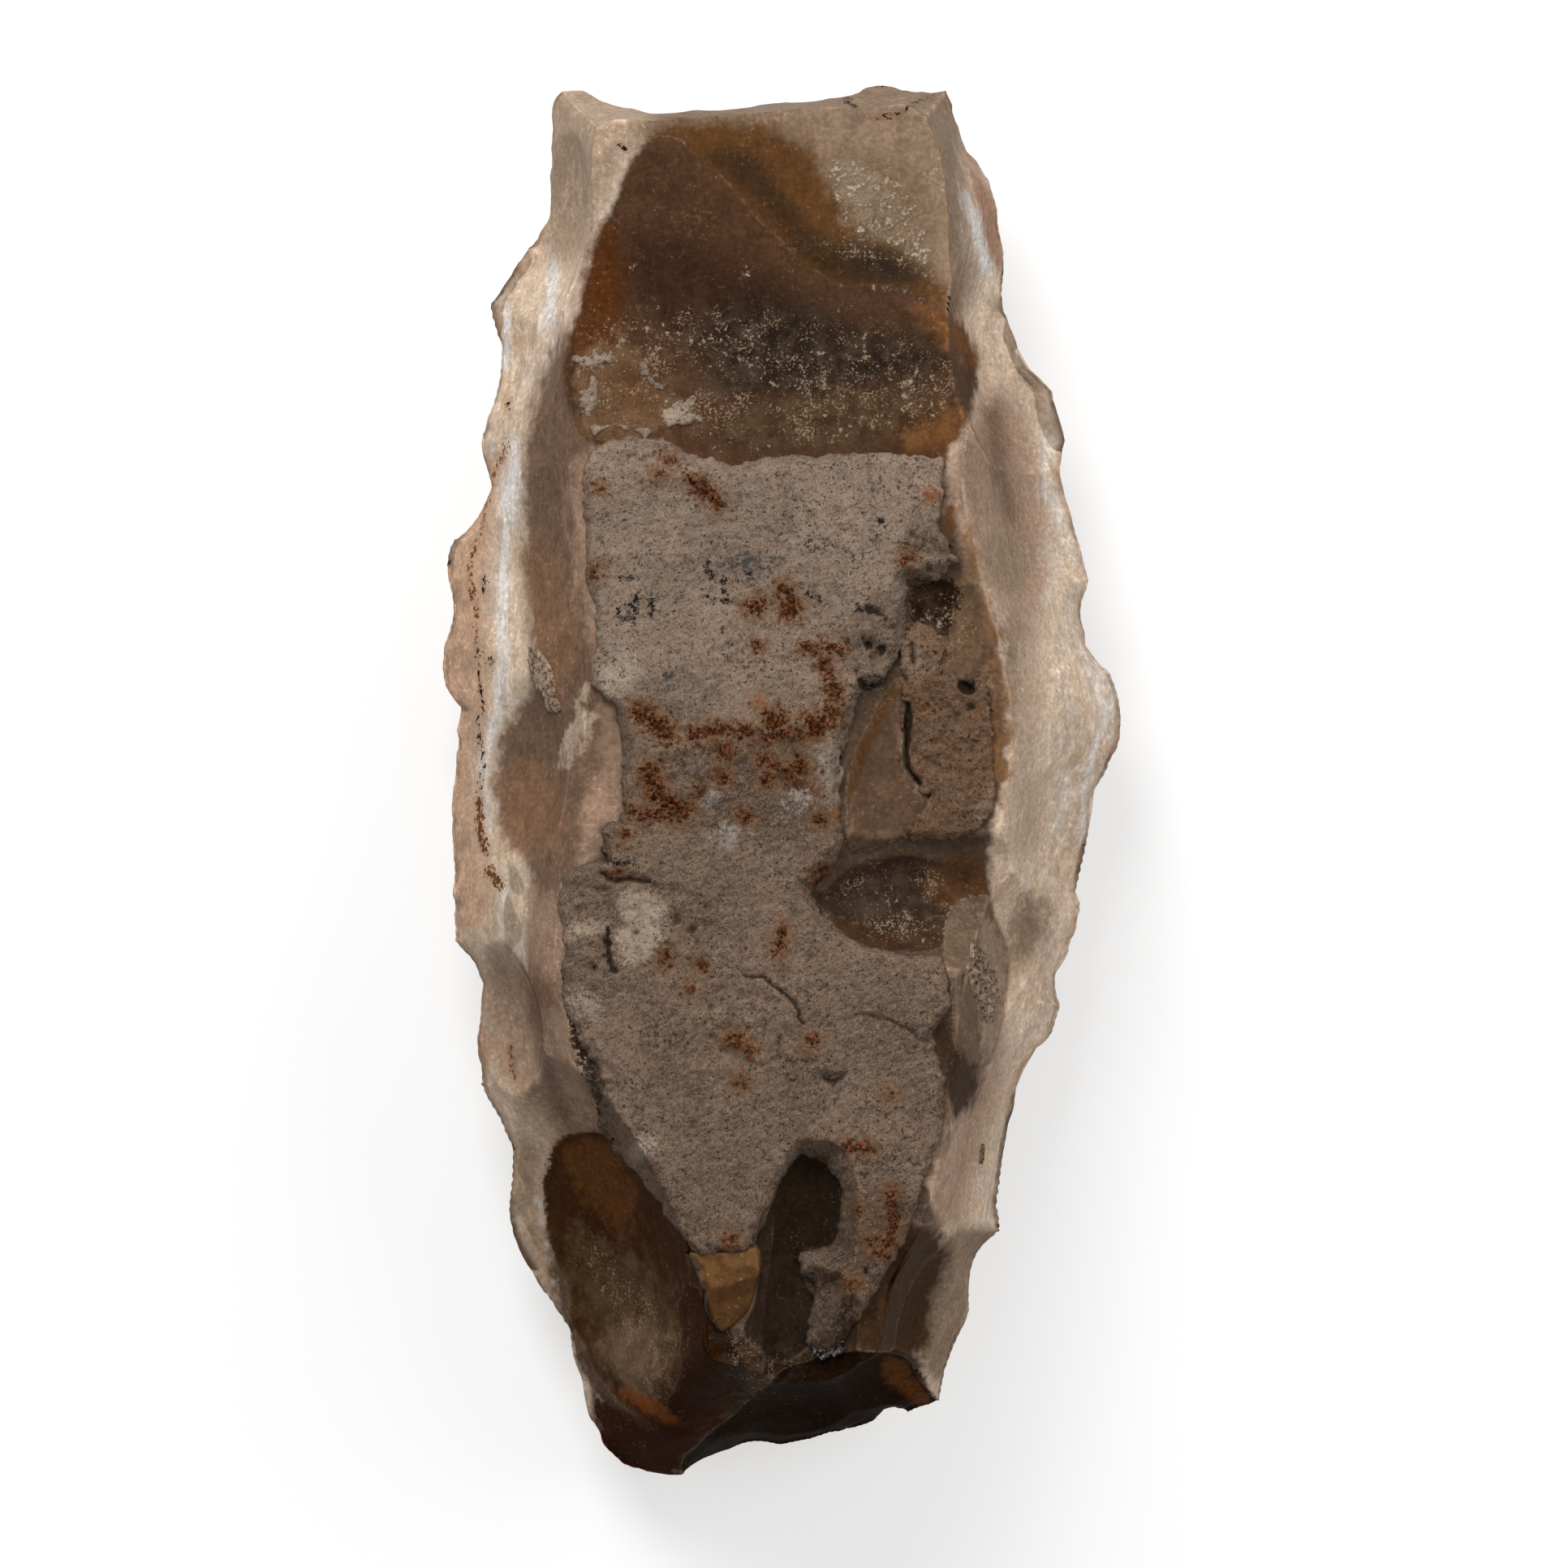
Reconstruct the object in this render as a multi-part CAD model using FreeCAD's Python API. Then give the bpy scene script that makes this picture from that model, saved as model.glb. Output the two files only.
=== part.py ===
# Flint blade core: a knapped slab of banded flint with rind on its upper face, lying on its blade face.
# X is the width, Y the length towards the large end scar, Z up.
# The origin is under the middle, on the table.
import FreeCAD
import Part
import math
import os

V = FreeCAD.Vector

# Overall sizes
core_length = 250.0
core_width = 123.0
core_height = 62.0

# Heights and slopes of the flint
rind_thickness = 3.0        # chalky rind left on the upper face
edge_height = 20.0          # widest edge above the table, at mid length
edge_pitch = 6.0            # how much higher the edge stands at the far end than at mid length
edge_zigzag = 0.8           # the edge wanders up and down from one small scar to the next
spine_half_length = 80.0    # the shoulders are drawn in towards this middle line
side_tuck = 30.0            # how far the resting face lies in from the edge, along the sides
end_tuck = 15.0             # the same, at the two ends

# Inlays, each measured down from the surface it lies in
pocket_recess = 2.0         # top of the rind that fills the hollow on the right
pocket_thickness = 3.0      # that rind's own thickness
ledge_depth = 1.6           # thin rind on the ledge at the top left
chip_recess = 1.4           # top of the honey-coloured chip held in a fracture
chip_thickness = 4.6        # the chip's own thickness
druse_depth = 1.8           # quartz lining beside the bladelet scar
plug_depth = 3.0            # chalk plugs in the slopes
concretion_depth = 1.8      # chalky concretion on the right slope
stain_depth = 0.8           # limonite stains in the rind

# The widest outline, seen from above, clockwise from the top left corner.
# Each row is x, y, the bow of the arc to the next row, positive outwards,
# and the width of the slope above the edge.
edge_outline = [
    (-41.8, 120.1, 0.8, 10.0), (-39.4, 124.5, 0.6, 9.0), (-31.7, 122.3, 0.0, 6.0),
    (-23.7, 120.4, -0.8, 4.0), (14.0, 124.0, 0.9, 4.5), (21.9, 124.3, -0.2, 5.0),
    (29.8, 124.3, 0.0, 7.0), (33.6, 113.1, 0.0, 8.0), (38.0, 108.1, 0.5, 12.0), (40.4, 92.3, 0.0, 12.0),
    (40.0, 87.7, -1.0, 10.0), (45.0, 73.9, 0.2, 11.0), (49.1, 70.2, -0.3, 14.0),
    (51.0, 61.2, -0.7, 18.5), (51.2, 50.7, 0.3, 19.5), (55.5, 36.1, -0.9, 19.5),
    (55.2, 24.5, -0.4, 17.0), (59.4, 20.1, 1.5, 18.0), (60.6, 6.9, 0.7, 18.5), (56.4, -1.8, 0.2, 15.5),
    (53.4, -19.8, 0.2, 16.0), (54.2, -23.3, 0.5, 17.5), (49.8, -34.7, -0.4, 18.0),
    (50.8, -40.2, 0.1, 18.5), (48.8, -45.8, 0.3, 17.0), (46.1, -48.0, -0.7, 15.0),
    (41.6, -58.8, -0.8, 11.5), (39.4, -76.3, 0.2, 12.5), (40.0, -81.1, -1.3, 15.0),
    (34.3, -90.9, 0.2, 14.0), (34.2, -95.3, 0.1, 16.5), (30.2, -106.2, 0.2, 15.5),
    (29.2, -112.1, -0.2, 16.0), (23.1, -114.7, -0.5, 13.0), (19.0, -113.8, 0.3, 12.0),
    (15.2, -116.4, 0.3, 13.5), (-0.3, -120.2, -2.0, 15.0), (-17.5, -124.9, 0.4, 22.0),
    (-28.8, -123.9, 0.6, 26.0), (-33.1, -118.0, 0.4, 28.0), (-35.8, -109.1, -0.3, 30.0),
    (-37.8, -103.6, 0.2, 28.0), (-38.7, -98.9, 0.2, 28.0), (-47.0, -84.3, 0.3, 29.0),
    (-48.9, -77.0, 0.0, 25.0), (-48.9, -66.1, -0.4, 17.5), (-54.6, -54.8, -0.4, 18.5),
    (-55.2, -46.4, 0.0, 16.0), (-53.7, -36.4, -0.4, 13.0), (-59.1, -28.8, -0.3, 18.0),
    (-59.7, -8.4, 0.2, 23.0), (-57.7, 13.2, 0.9, 24.0), (-61.5, 20.8, 0.0, 26.0),
    (-59.6, 29.6, -0.3, 24.5), (-60.6, 38.3, 0.4, 24.5), (-59.3, 43.9, -1.1, 23.0),
    (-52.4, 52.9, 0.2, 16.0), (-54.0, 62.4, -0.6, 18.0), (-50.7, 78.5, 0.2, 14.0),
    (-52.0, 85.8, -0.4, 17.0), (-42.3, 101.4, -0.3, 11.0),
]

# Outline of the rind left on the upper face
rind_outline = [
    (-32.7, 59.7), (-27.6, 61.3), (-21.2, 60.8), (-16.1, 58.5), (-8.9, 56.2), (-0.3, 57.8), (12.7, 58.4),
    (28.6, 57.7), (28.4, 49.3), (27.1, 46.0), (32.0, 44.0), (34.2, 39.0), (32.5, 36.4), (23.8, 36.2),
    (22.5, 31.3), (21.3, 27.0), (14.1, 23.4), (11.2, 16.2), (12.0, 11.2), (10.5, 4.7), (9.8, -4.0),
    (11.2, -11.2), (8.6, -16.2), (5.5, -19.1), (7.2, -24.1), (14.1, -29.2), (19.9, -30.6), (28.0, -31.3),
    (29.2, -35.6), (29.7, -40.0), (27.1, -45.0), (28.6, -51.5), (28.0, -63.0), (24.9, -73.1),
    (21.4, -81.7), (14.1, -94.4), (8.2, -94.9), (6.9, -87.5), (3.3, -83.9), (10.5, -80.3), (11.2, -73.1),
    (8.4, -67.6), (3.3, -67.0), (-0.3, -70.9), (-3.9, -77.4), (-6.0, -83.9), (-15.4, -83.9),
    (-20.4, -77.4), (-29.1, -65.9), (-31.2, -61.6), (-31.2, -52.9), (-35.6, -47.2), (-37.2, -40.0),
    (-37.9, -31.3), (-38.2, -21.2), (-36.7, -15.5), (-31.2, -14.0), (-32.0, -8.3), (-27.6, -5.4),
    (-28.4, 3.2), (-29.1, 13.3), (-33.0, 16.2), (-33.6, 21.2), (-32.3, 24.8), (-34.4, 37.8),
    (-34.8, 49.3), (-34.4, 56.5),
]
pocket_outline = [
    (22.6, 23.0), (29.0, 21.5), (35.5, 23.5), (38.2, 14.0), (38.4, 6.0), (36.6, 0.0), (33.8, -5.6),
    (28.6, -8.6), (24.6, -3.4), (21.8, 4.0), (21.4, 14.0),
]
ledge_outline = [
    (-35.4, 74.0), (-30.5, 77.2), (-24.5, 76.4), (-22.0, 70.5), (-17.5, 66.4), (-19.5, 62.6),
    (-26.0, 63.0), (-31.5, 62.2), (-34.0, 67.0),
]
chip_outline = [
    (-14.4, -84.6), (-6.6, -84.6), (-4.4, -87.2), (-4.0, -91.0), (-5.4, -95.2), (-9.4, -98.6), (-11.8, -95.6),
    (-13.6, -90.0),
]
druse_outline = [
    (8.6, -95.4), (14.0, -95.0), (16.2, -96.6), (12.4, -99.2), (7.0, -100.4),
]
concretion_outline = [
    (33.6, -29.8), (36.6, -30.6), (37.8, -35.6), (37.2, -41.5), (37.6, -47.0), (35.4, -48.4), (34.6, -42.0),
    (33.4, -36.0),
]

# Scars struck into the upper face: x, y of the deepest point, its depth below the shoulder, the radius
face_scars = [
    (-8.0, 84.0, 6.2, 105.0), (13.4, 117.8, 7.6, 105.0), (18.5, 6.0, 2.2, 60.0), (25.0, 32.0, 2.6, 40.0),
    (-31.0, 4.0, 2.0, 30.0),
]
# Scars on the slope above the edge: row of the outline, share of the way up, radius, and depth
flank_scars = [
    (4.4, 0.50, 70.0, 1.5), (9.4, 0.45, 45.0, 3.0), (14.6, 0.40, 50.0, 2.6), (19.5, 0.45, 55.0, 2.4),
    (22.6, 0.62, 24.0, 2.0), (26.6, 0.45, 45.0, 2.2), (30.4, 0.50, 26.0, 2.8), (34.6, 0.50, 30.0, 3.0),
    (36.3, 0.45, 42.0, 3.2), (41.4, 0.50, 60.0, 3.4), (45.6, 0.45, 30.0, 2.0), (48.6, 0.40, 26.0, 2.0),
    (50.5, 0.58, 40.0, 2.6), (54.5, 0.55, 70.0, 3.4), (57.6, 0.40, 50.0, 2.4), (60.2, 0.45, 40.0, 2.4),
]
# Scars on the slope below the edge, in the same terms
under_scars = [
    (1.5, 0.45, 30.0, 2.4), (4.5, 0.50, 40.0, 2.4), (9.5, 0.45, 40.0, 3.0), (14.0, 0.45, 45.0, 2.8),
    (18.2, 0.45, 40.0, 3.0), (22.5, 0.45, 38.0, 2.6), (27.0, 0.45, 40.0, 2.6), (44.5, 0.45, 40.0, 2.8),
    (49.5, 0.45, 42.0, 2.8), (54.0, 0.45, 42.0, 3.0), (58.5, 0.45, 40.0, 2.8),
]
# Long troughs left by struck blades: x at mid length, roll towards the side in degrees, width, depth,
# and turn in degrees
blade_scars = [
    (-17.5, 0.0, 15.5, 2.0, 1.2), (0.5, 0.0, 16.0, 2.4, -0.6), (18.5, 0.0, 15.0, 2.0, -1.4),
    (-39.0, 30.0, 22.0, 2.6, 2.6), (39.5, 30.0, 22.0, 2.6, -2.2),
]
# Narrow scars beside the rind: foot x, y, z below the shoulder, heading, dip, radius
notch_scar = (24.5, -20.5, 5.4, 173.0, 9.0, 15.0)
bladelet_scar = (5.4, -99.0, 8.0, 86.0, 7.0, 8.2)

# Small inclusions in the slope: row of the outline, share of the way up, half width, half length
large_plug = (51.78, 0.71, 2.1, 4.2)
small_plug = (51.08, 0.72, 1.4, 1.4)
edge_plug = (26.46, 0.38, 0.9, 1.9)
# Where the concretion sits: row of the outline, share of the way up
concretion_seat = (23.0, 0.9)

# Pits in the pocket's rind and worn hollows in the upper rind: x, y, radius, depth
pocket_pits = [
    (32.8, 16.9, 1.8, 2.6), (24.6, 3.2, 1.7, 2.2), (25.2, -1.2, 1.9, 2.4), (27.4, -5.0, 1.6, 2.0),
]
worn_hollows = [
    (-25.5, -25.5, 11.0, 1.1), (-16.0, -20.5, 5.0, 0.8), (-4.8, -40.0, 6.0, 0.7), (17.2, 28.6, 4.2, 0.9),
]
# Limonite stains in the upper rind: x, y, radius
stain_spots = [
    (-0.3, 31.0, 3.0), (4.6, 31.6, 1.6), (-5.4, 14.4, 2.2), (-22.2, 10.2, 3.2), (-8.2, 8.0, 3.0),
    (7.4, 9.8, 2.6), (6.9, 22.6, 2.2), (-22.8, -2.2, 3.4), (26.0, 51.2, 1.6), (-7.2, -48.6, 2.2),
    (0.4, -27.2, 1.6), (13.8, -64.6, 1.6),
]

# The outline's own length and width as drawn, bows included
drawn_length = 249.85
drawn_width = 123.06

shoulder_z = core_height - rind_thickness
length_scale = core_length / drawn_length
width_scale = core_width / drawn_width
long_reach = core_length * 2
tall = core_height * 2


def plan(x, y, z=0.0):
    """A drawn point at the core's present length and width."""
    return V(x * width_scale, y * length_scale, z)


def edge_level(index, y):
    """Height of the widest edge, which rises along the length and zigzags from scar to scar."""
    zigzag = edge_zigzag if index % 2 else -edge_zigzag
    return edge_height + edge_pitch * 2 * y / core_length + zigzag


def drawn_in(point, width, z):
    """The point moved towards the spine by a width, at a height."""
    reach = spine_half_length * length_scale
    spine = V(0, max(-reach, min(reach, point.y)), 0)
    flat = V(point.x, point.y, 0)
    inward = spine.sub(flat).normalize()
    moved = flat + inward * width
    return V(moved.x, moved.y, z)


def tuck(point):
    """How far the resting face lies in: side_tuck along the sides, easing to end_tuck at the ends."""
    share = min(1.0, abs(point.y) / (core_length / 2))
    ease = share ** 4
    return side_tuck * (1 - ease) + end_tuck * ease


edge_points = []
shoulder_points = []
resting_points = []
for number, (x, y, bow, slope_width) in enumerate(edge_outline):
    flat_point = plan(x, y)
    edge_points.append(V(flat_point.x, flat_point.y, edge_level(number, flat_point.y)))
    shoulder_points.append(drawn_in(flat_point, slope_width * width_scale, shoulder_z))
    resting_points.append(drawn_in(flat_point, tuck(flat_point), 0))
edge_count = len(edge_points)


def edge_arc(number):
    """The bowed stretch of the widest edge from one row of the outline to the next."""
    start = edge_points[number]
    end = edge_points[(number + 1) % edge_count]
    bow = edge_outline[number][2]
    if abs(bow) < 0.15:
        return Part.LineSegment(start, end).toShape()
    run = end - start
    outward = V(-run.y, run.x, 0).normalize()
    middle = (start + end) * 0.5 + outward * bow
    return Part.Arc(start, middle, end).toShape()


def blank():
    """The slab before its scars: slopes above and below the edge, a shoulder and a resting face."""
    faces = []
    for number in range(edge_count):
        following = (number + 1) % edge_count
        arc = edge_arc(number)
        top = Part.LineSegment(shoulder_points[number], shoulder_points[following]).toShape()
        bottom = Part.LineSegment(resting_points[number], resting_points[following]).toShape()
        faces.append(Part.makeRuledSurface(arc, top))
        faces.append(Part.makeRuledSurface(bottom, arc))
    faces.append(Part.Face(Part.makePolygon(shoulder_points + shoulder_points[:1])))
    faces.append(Part.Face(Part.makePolygon(resting_points + resting_points[:1])))
    shell = Part.makeShell(faces)
    shell.sewShape()
    solid = Part.makeSolid(shell)
    if solid.Volume < 0:
        solid.reverse()
    return solid


def slope_frame(place, share, upper=True):
    """A point on the slope above or below the edge, and the outward normal there."""
    number = int(place) % edge_count
    part_way = place - int(place)
    following = (number + 1) % edge_count
    rim = shoulder_points if upper else resting_points
    low = edge_points[number] * (1 - part_way) + edge_points[following] * part_way
    high = rim[number] * (1 - part_way) + rim[following] * part_way
    point = low * (1 - share) + high * share
    along = (edge_points[following] - edge_points[number]).normalize()
    normal = along.cross(high - low).normalize()
    outward = V(low.x, low.y, 0) - V(high.x, high.y, 0)
    if normal.dot(outward) < 0:
        normal = normal * -1
    return point, normal


def slope_scar(place, share, radius, depth, upper=True):
    """A shallow round scar: a ball whose skin lies a depth below the slope."""
    point, normal = slope_frame(place, share, upper)
    return Part.makeSphere(radius, point + normal * (radius - depth))


def face_scar(x, y, drop, radius):
    """A shallow dish in the upper face, its deepest point a drop below the shoulder."""
    return Part.makeSphere(radius, plan(x, y, shoulder_z - drop + radius))


def trough(x, y, drop, heading, dip, radius):
    """A narrow scar that starts deep at its foot and climbs out along its heading."""
    turn = math.radians(heading)
    climb = math.radians(dip)
    axis = V(math.cos(turn) * math.cos(climb), math.sin(turn) * math.cos(climb), math.sin(climb))
    foot = plan(x, y, shoulder_z - drop + radius)
    run_up = core_width / 4
    return Part.makeCylinder(radius, core_width, foot - axis * run_up, axis)


def blade_scar(x, roll, width, depth, turn):
    """A long round-bottomed trough on the blade face."""
    radius = (width * width / 4 + depth * depth) / (2 * depth)
    side = math.copysign(1.0, x) * math.radians(roll)
    outward = V(math.sin(side), 0, -math.cos(side))
    yaw = math.radians(turn)
    axis = V(math.sin(yaw), math.cos(yaw), 0)
    half_face = core_width / 2 - side_tuck
    rise = 0.0
    if roll:
        rise = (abs(x) * width_scale - half_face) * edge_height / side_tuck
    middle = V(x * width_scale, 0, rise) + outward * (radius - depth)
    return Part.makeCylinder(radius, long_reach, middle - axis * (long_reach / 2), axis)


def prism(outline, bottom, top):
    """An upright block with a drawn outline."""
    points = [plan(x, y, bottom) for x, y in outline]
    face = Part.Face(Part.makePolygon(points + points[:1]))
    return face.extrude(V(0, 0, top - bottom))


def skin(flint, outline, depth, inward=V(0, 0, -1)):
    """The top layer of the flint inside a drawn outline, as deep as depth along inward."""
    tool = prism(outline, core_height / 2, tall)
    column = flint.common(tool)
    room = column.BoundBox
    room.enlarge(depth * 2)
    corner = V(room.XMin, room.YMin, room.ZMin)
    below = flint.common(Part.makeBox(room.XLength, room.YLength, room.ZLength, corner))
    below.translate(inward * depth)
    return column.cut(below)


def plug_tool(place, share, half_width, half_length):
    """An oval cutter square to the slope, reaching plug_depth into the stone and out of it."""
    point, normal = slope_frame(place, share)
    oval = Part.makeCylinder(half_width, plug_depth * 2, V(0, 0, -plug_depth))
    if half_length != half_width:
        stretch = FreeCAD.Matrix()
        stretch.scale(1.0, half_length / half_width, 1.0)
        oval = oval.transformGeometry(stretch)
    upright = V(0, 1, 0)
    across = upright.cross(normal).normalize()
    oval.Placement = FreeCAD.Placement(point, FreeCAD.Rotation(across, upright, normal, "ZXY"))
    return oval


def dish(x, y, radius, depth, surface_z):
    """A ball that cuts a round hollow of this radius and depth into a level surface."""
    ball = (radius * radius + depth * depth) / (2 * depth)
    return Part.makeSphere(ball, plan(x, y, surface_z - depth + ball))


def inlay(host, tool):
    """The part of the host inside a tool, and the host without it."""
    return host.common(tool), host.cut(tool)


def write(name, shape):
    os.makedirs("parts", exist_ok=True)
    shape.exportStep("parts/" + name + ".step")
    print(name, "solids", len(shape.Solids), "valid", shape.isValid(), "volume %.1f" % shape.Volume)


rind = prism(rind_outline, shoulder_z, core_height)
rind_shadow = prism(rind_outline, core_height / 2, tall)
upper_tools = [face_scar(*row) for row in face_scars]
upper_tools += [trough(*notch_scar), trough(*bladelet_scar)]
upper_cut = upper_tools[0].multiFuse(upper_tools[1:]).cut(rind_shadow)
side_tools = [slope_scar(*row) for row in flank_scars]
side_tools += [slope_scar(*row, upper=False) for row in under_scars]
side_tools += [blade_scar(*row) for row in blade_scars]

flint = blank().cut(upper_cut)
for tool in side_tools:
    flint = flint.cut(tool)

pocket_top = shoulder_z - pocket_recess
pocket_floor = pocket_top - pocket_thickness
pocket = prism(pocket_outline, pocket_floor, pocket_top)
flint = flint.cut(prism(pocket_outline, pocket_floor, tall))
for row in pocket_pits:
    pocket = pocket.cut(dish(*row, pocket_top))

chip_top = shoulder_z - chip_recess
chip, flint = inlay(flint, prism(chip_outline, chip_top - chip_thickness, tall))
chip = chip.cut(prism(chip_outline, chip_top, tall))

ledge = skin(flint, ledge_outline, ledge_depth)
druse = skin(flint, druse_outline, druse_depth)
concretion_side = slope_frame(*concretion_seat)[1]
concretion = skin(flint, concretion_outline, concretion_depth, concretion_side * -1)
flint = flint.cut(ledge).cut(druse).cut(concretion)

plugs = []
for row in (large_plug, small_plug, edge_plug):
    plug, flint = inlay(flint, plug_tool(*row))
    plugs.append(plug)

for row in worn_hollows:
    rind = rind.cut(dish(*row, core_height))
stains = []
for x, y, radius in stain_spots:
    stain, rind = inlay(rind, dish(x, y, radius, stain_depth, core_height))
    stains.append(stain)

write("flint_body", flint)
write("upper_rind", rind)
write("pocket_rind", pocket)
write("ledge_rind", ledge)
write("honey_chip", chip)
write("quartz_druse", druse)
write("large_chalk_plug", plugs[0])
write("small_chalk_plug", plugs[1])
write("edge_chalk_plug", plugs[2])
write("chalk_concretion", concretion)
write("limonite_stains", Part.makeCompound(stains))
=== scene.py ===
"""A flint blade core with rind on its upper face, lying on its blade face and seen from straight above.

Lengths are in millimetres until a mesh is made, when they become metres.
"""

import bpy
import numpy as np
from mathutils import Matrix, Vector


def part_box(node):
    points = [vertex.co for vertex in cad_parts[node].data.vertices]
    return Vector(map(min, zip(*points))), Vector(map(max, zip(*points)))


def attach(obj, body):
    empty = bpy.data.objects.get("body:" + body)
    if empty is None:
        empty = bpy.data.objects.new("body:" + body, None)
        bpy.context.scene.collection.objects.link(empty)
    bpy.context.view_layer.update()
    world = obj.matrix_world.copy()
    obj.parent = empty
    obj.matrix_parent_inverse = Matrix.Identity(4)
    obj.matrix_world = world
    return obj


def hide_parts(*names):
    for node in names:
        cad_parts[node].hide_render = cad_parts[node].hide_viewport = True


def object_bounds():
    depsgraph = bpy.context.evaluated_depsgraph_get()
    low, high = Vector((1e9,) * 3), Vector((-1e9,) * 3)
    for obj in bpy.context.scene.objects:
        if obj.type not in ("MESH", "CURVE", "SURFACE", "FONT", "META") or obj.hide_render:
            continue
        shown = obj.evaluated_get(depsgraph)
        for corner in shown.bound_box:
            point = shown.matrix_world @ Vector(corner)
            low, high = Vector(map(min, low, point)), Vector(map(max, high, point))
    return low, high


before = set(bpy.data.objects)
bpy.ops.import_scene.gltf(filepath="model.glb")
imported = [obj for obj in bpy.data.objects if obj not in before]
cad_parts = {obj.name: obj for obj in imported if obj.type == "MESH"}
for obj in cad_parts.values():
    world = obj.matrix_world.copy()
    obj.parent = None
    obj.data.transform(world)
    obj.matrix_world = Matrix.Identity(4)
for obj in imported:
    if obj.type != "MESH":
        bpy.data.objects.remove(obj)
cad_low, cad_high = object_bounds()

METRES = 0.001

# Heights of the stone, as built
flint_low, flint_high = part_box("flint_body")
core_length = (flint_high.y - flint_low.y) / METRES
core_width = (flint_high.x - flint_low.x) / METRES
shoulder_z = flint_high.z / METRES
rind_top = cad_high.z / METRES
edge_height = 20.0
edge_pitch = 6.0
edge_zigzag = 0.8
spine_half_length = 80.0
side_tuck = 30.0
end_tuck = 15.0
drawn_length = 249.85
drawn_width = 123.06
width_scale = core_width / drawn_width
length_scale = core_length / drawn_length

# The photograph: 1932 pixels a side, taken from straight above with a long lens
photo_pixels = 1932
pixel_mm = 0.146
camera_height = 3000.0
aim_x = 0.58
aim_y = -0.51
sensor_mm = 36.0

# The widest outline, clockwise from the top left corner: x, y, bow of the arc to the next row, width of the
# slope
edge_outline = np.array([
    (-41.8, 120.1, 0.8, 10.0), (-39.4, 124.5, 0.6, 9.0), (-31.7, 122.3, 0.0, 6.0),
    (-23.7, 120.4, -0.8, 4.0), (14.0, 124.0, 0.9, 4.5), (21.9, 124.3, -0.2, 5.0), (29.8, 124.3, 0.0, 7.0),
    (33.6, 113.1, 0.0, 8.0), (38.0, 108.1, 0.5, 12.0), (40.4, 92.3, 0.0, 12.0), (40.0, 87.7, -1.0, 10.0),
    (45.0, 73.9, 0.2, 11.0), (49.1, 70.2, -0.3, 14.0), (51.0, 61.2, -0.7, 18.5), (51.2, 50.7, 0.3, 19.5),
    (55.5, 36.1, -0.9, 19.5), (55.2, 24.5, -0.4, 17.0), (59.4, 20.1, 1.5, 18.0), (60.6, 6.9, 0.7, 18.5),
    (56.4, -1.8, 0.2, 15.5), (53.4, -19.8, 0.2, 16.0), (54.2, -23.3, 0.5, 17.5), (49.8, -34.7, -0.4, 18.0),
    (50.8, -40.2, 0.1, 18.5), (48.8, -45.8, 0.3, 17.0), (46.1, -48.0, -0.7, 15.0),
    (41.6, -58.8, -0.8, 11.5), (39.4, -76.3, 0.2, 12.5), (40.0, -81.1, -1.3, 15.0),
    (34.3, -90.9, 0.2, 14.0), (34.2, -95.3, 0.1, 16.5), (30.2, -106.2, 0.2, 15.5),
    (29.2, -112.1, -0.2, 16.0), (23.1, -114.7, -0.5, 13.0), (19.0, -113.8, 0.3, 12.0),
    (15.2, -116.4, 0.3, 13.5), (-0.3, -120.2, -2.0, 15.0), (-17.5, -124.9, 0.4, 22.0),
    (-28.8, -123.9, 0.6, 26.0), (-33.1, -118.0, 0.4, 28.0), (-35.8, -109.1, -0.3, 30.0),
    (-37.8, -103.6, 0.2, 28.0), (-38.7, -98.9, 0.2, 28.0), (-47.0, -84.3, 0.3, 29.0),
    (-48.9, -77.0, 0.0, 25.0), (-48.9, -66.1, -0.4, 17.5), (-54.6, -54.8, -0.4, 18.5),
    (-55.2, -46.4, 0.0, 16.0), (-53.7, -36.4, -0.4, 13.0), (-59.1, -28.8, -0.3, 18.0),
    (-59.7, -8.4, 0.2, 23.0), (-57.7, 13.2, 0.9, 24.0), (-61.5, 20.8, 0.0, 26.0), (-59.6, 29.6, -0.3, 24.5),
    (-60.6, 38.3, 0.4, 24.5), (-59.3, 43.9, -1.1, 23.0), (-52.4, 52.9, 0.2, 16.0),
    (-54.0, 62.4, -0.6, 18.0), (-50.7, 78.5, 0.2, 14.0), (-52.0, 85.8, -0.4, 17.0),
    (-42.3, 101.4, -0.3, 11.0),
])
# The rows where the outline turns from one side to the next: top left, top right, bottom right, bottom left
corner_rows = (0, 6, 32, 38)

# Scars in the upper face: x, y of the deepest point, depth below the shoulder, radius
face_scars = [
    (-8.0, 84.0, 6.2, 105.0), (13.4, 117.8, 7.6, 105.0), (18.5, 6.0, 2.2, 60.0), (25.0, 32.0, 2.6, 40.0),
    (-31.0, 4.0, 2.0, 30.0),
]
# Scars on the slope above the edge: row of the outline, share of the way up, radius, depth
flank_scars = [
    (4.4, 0.50, 70.0, 1.5), (9.4, 0.45, 45.0, 3.0), (14.6, 0.40, 50.0, 2.6), (19.5, 0.45, 55.0, 2.4),
    (22.6, 0.62, 24.0, 2.0), (26.6, 0.45, 45.0, 2.2), (30.4, 0.50, 26.0, 2.8), (34.6, 0.50, 30.0, 3.0),
    (36.3, 0.45, 42.0, 3.2), (41.4, 0.50, 60.0, 3.4), (45.6, 0.45, 30.0, 2.0), (48.6, 0.40, 26.0, 2.0),
    (50.5, 0.58, 40.0, 2.6), (54.5, 0.55, 70.0, 3.4), (57.6, 0.40, 50.0, 2.4), (60.2, 0.45, 40.0, 2.4),
]
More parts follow.
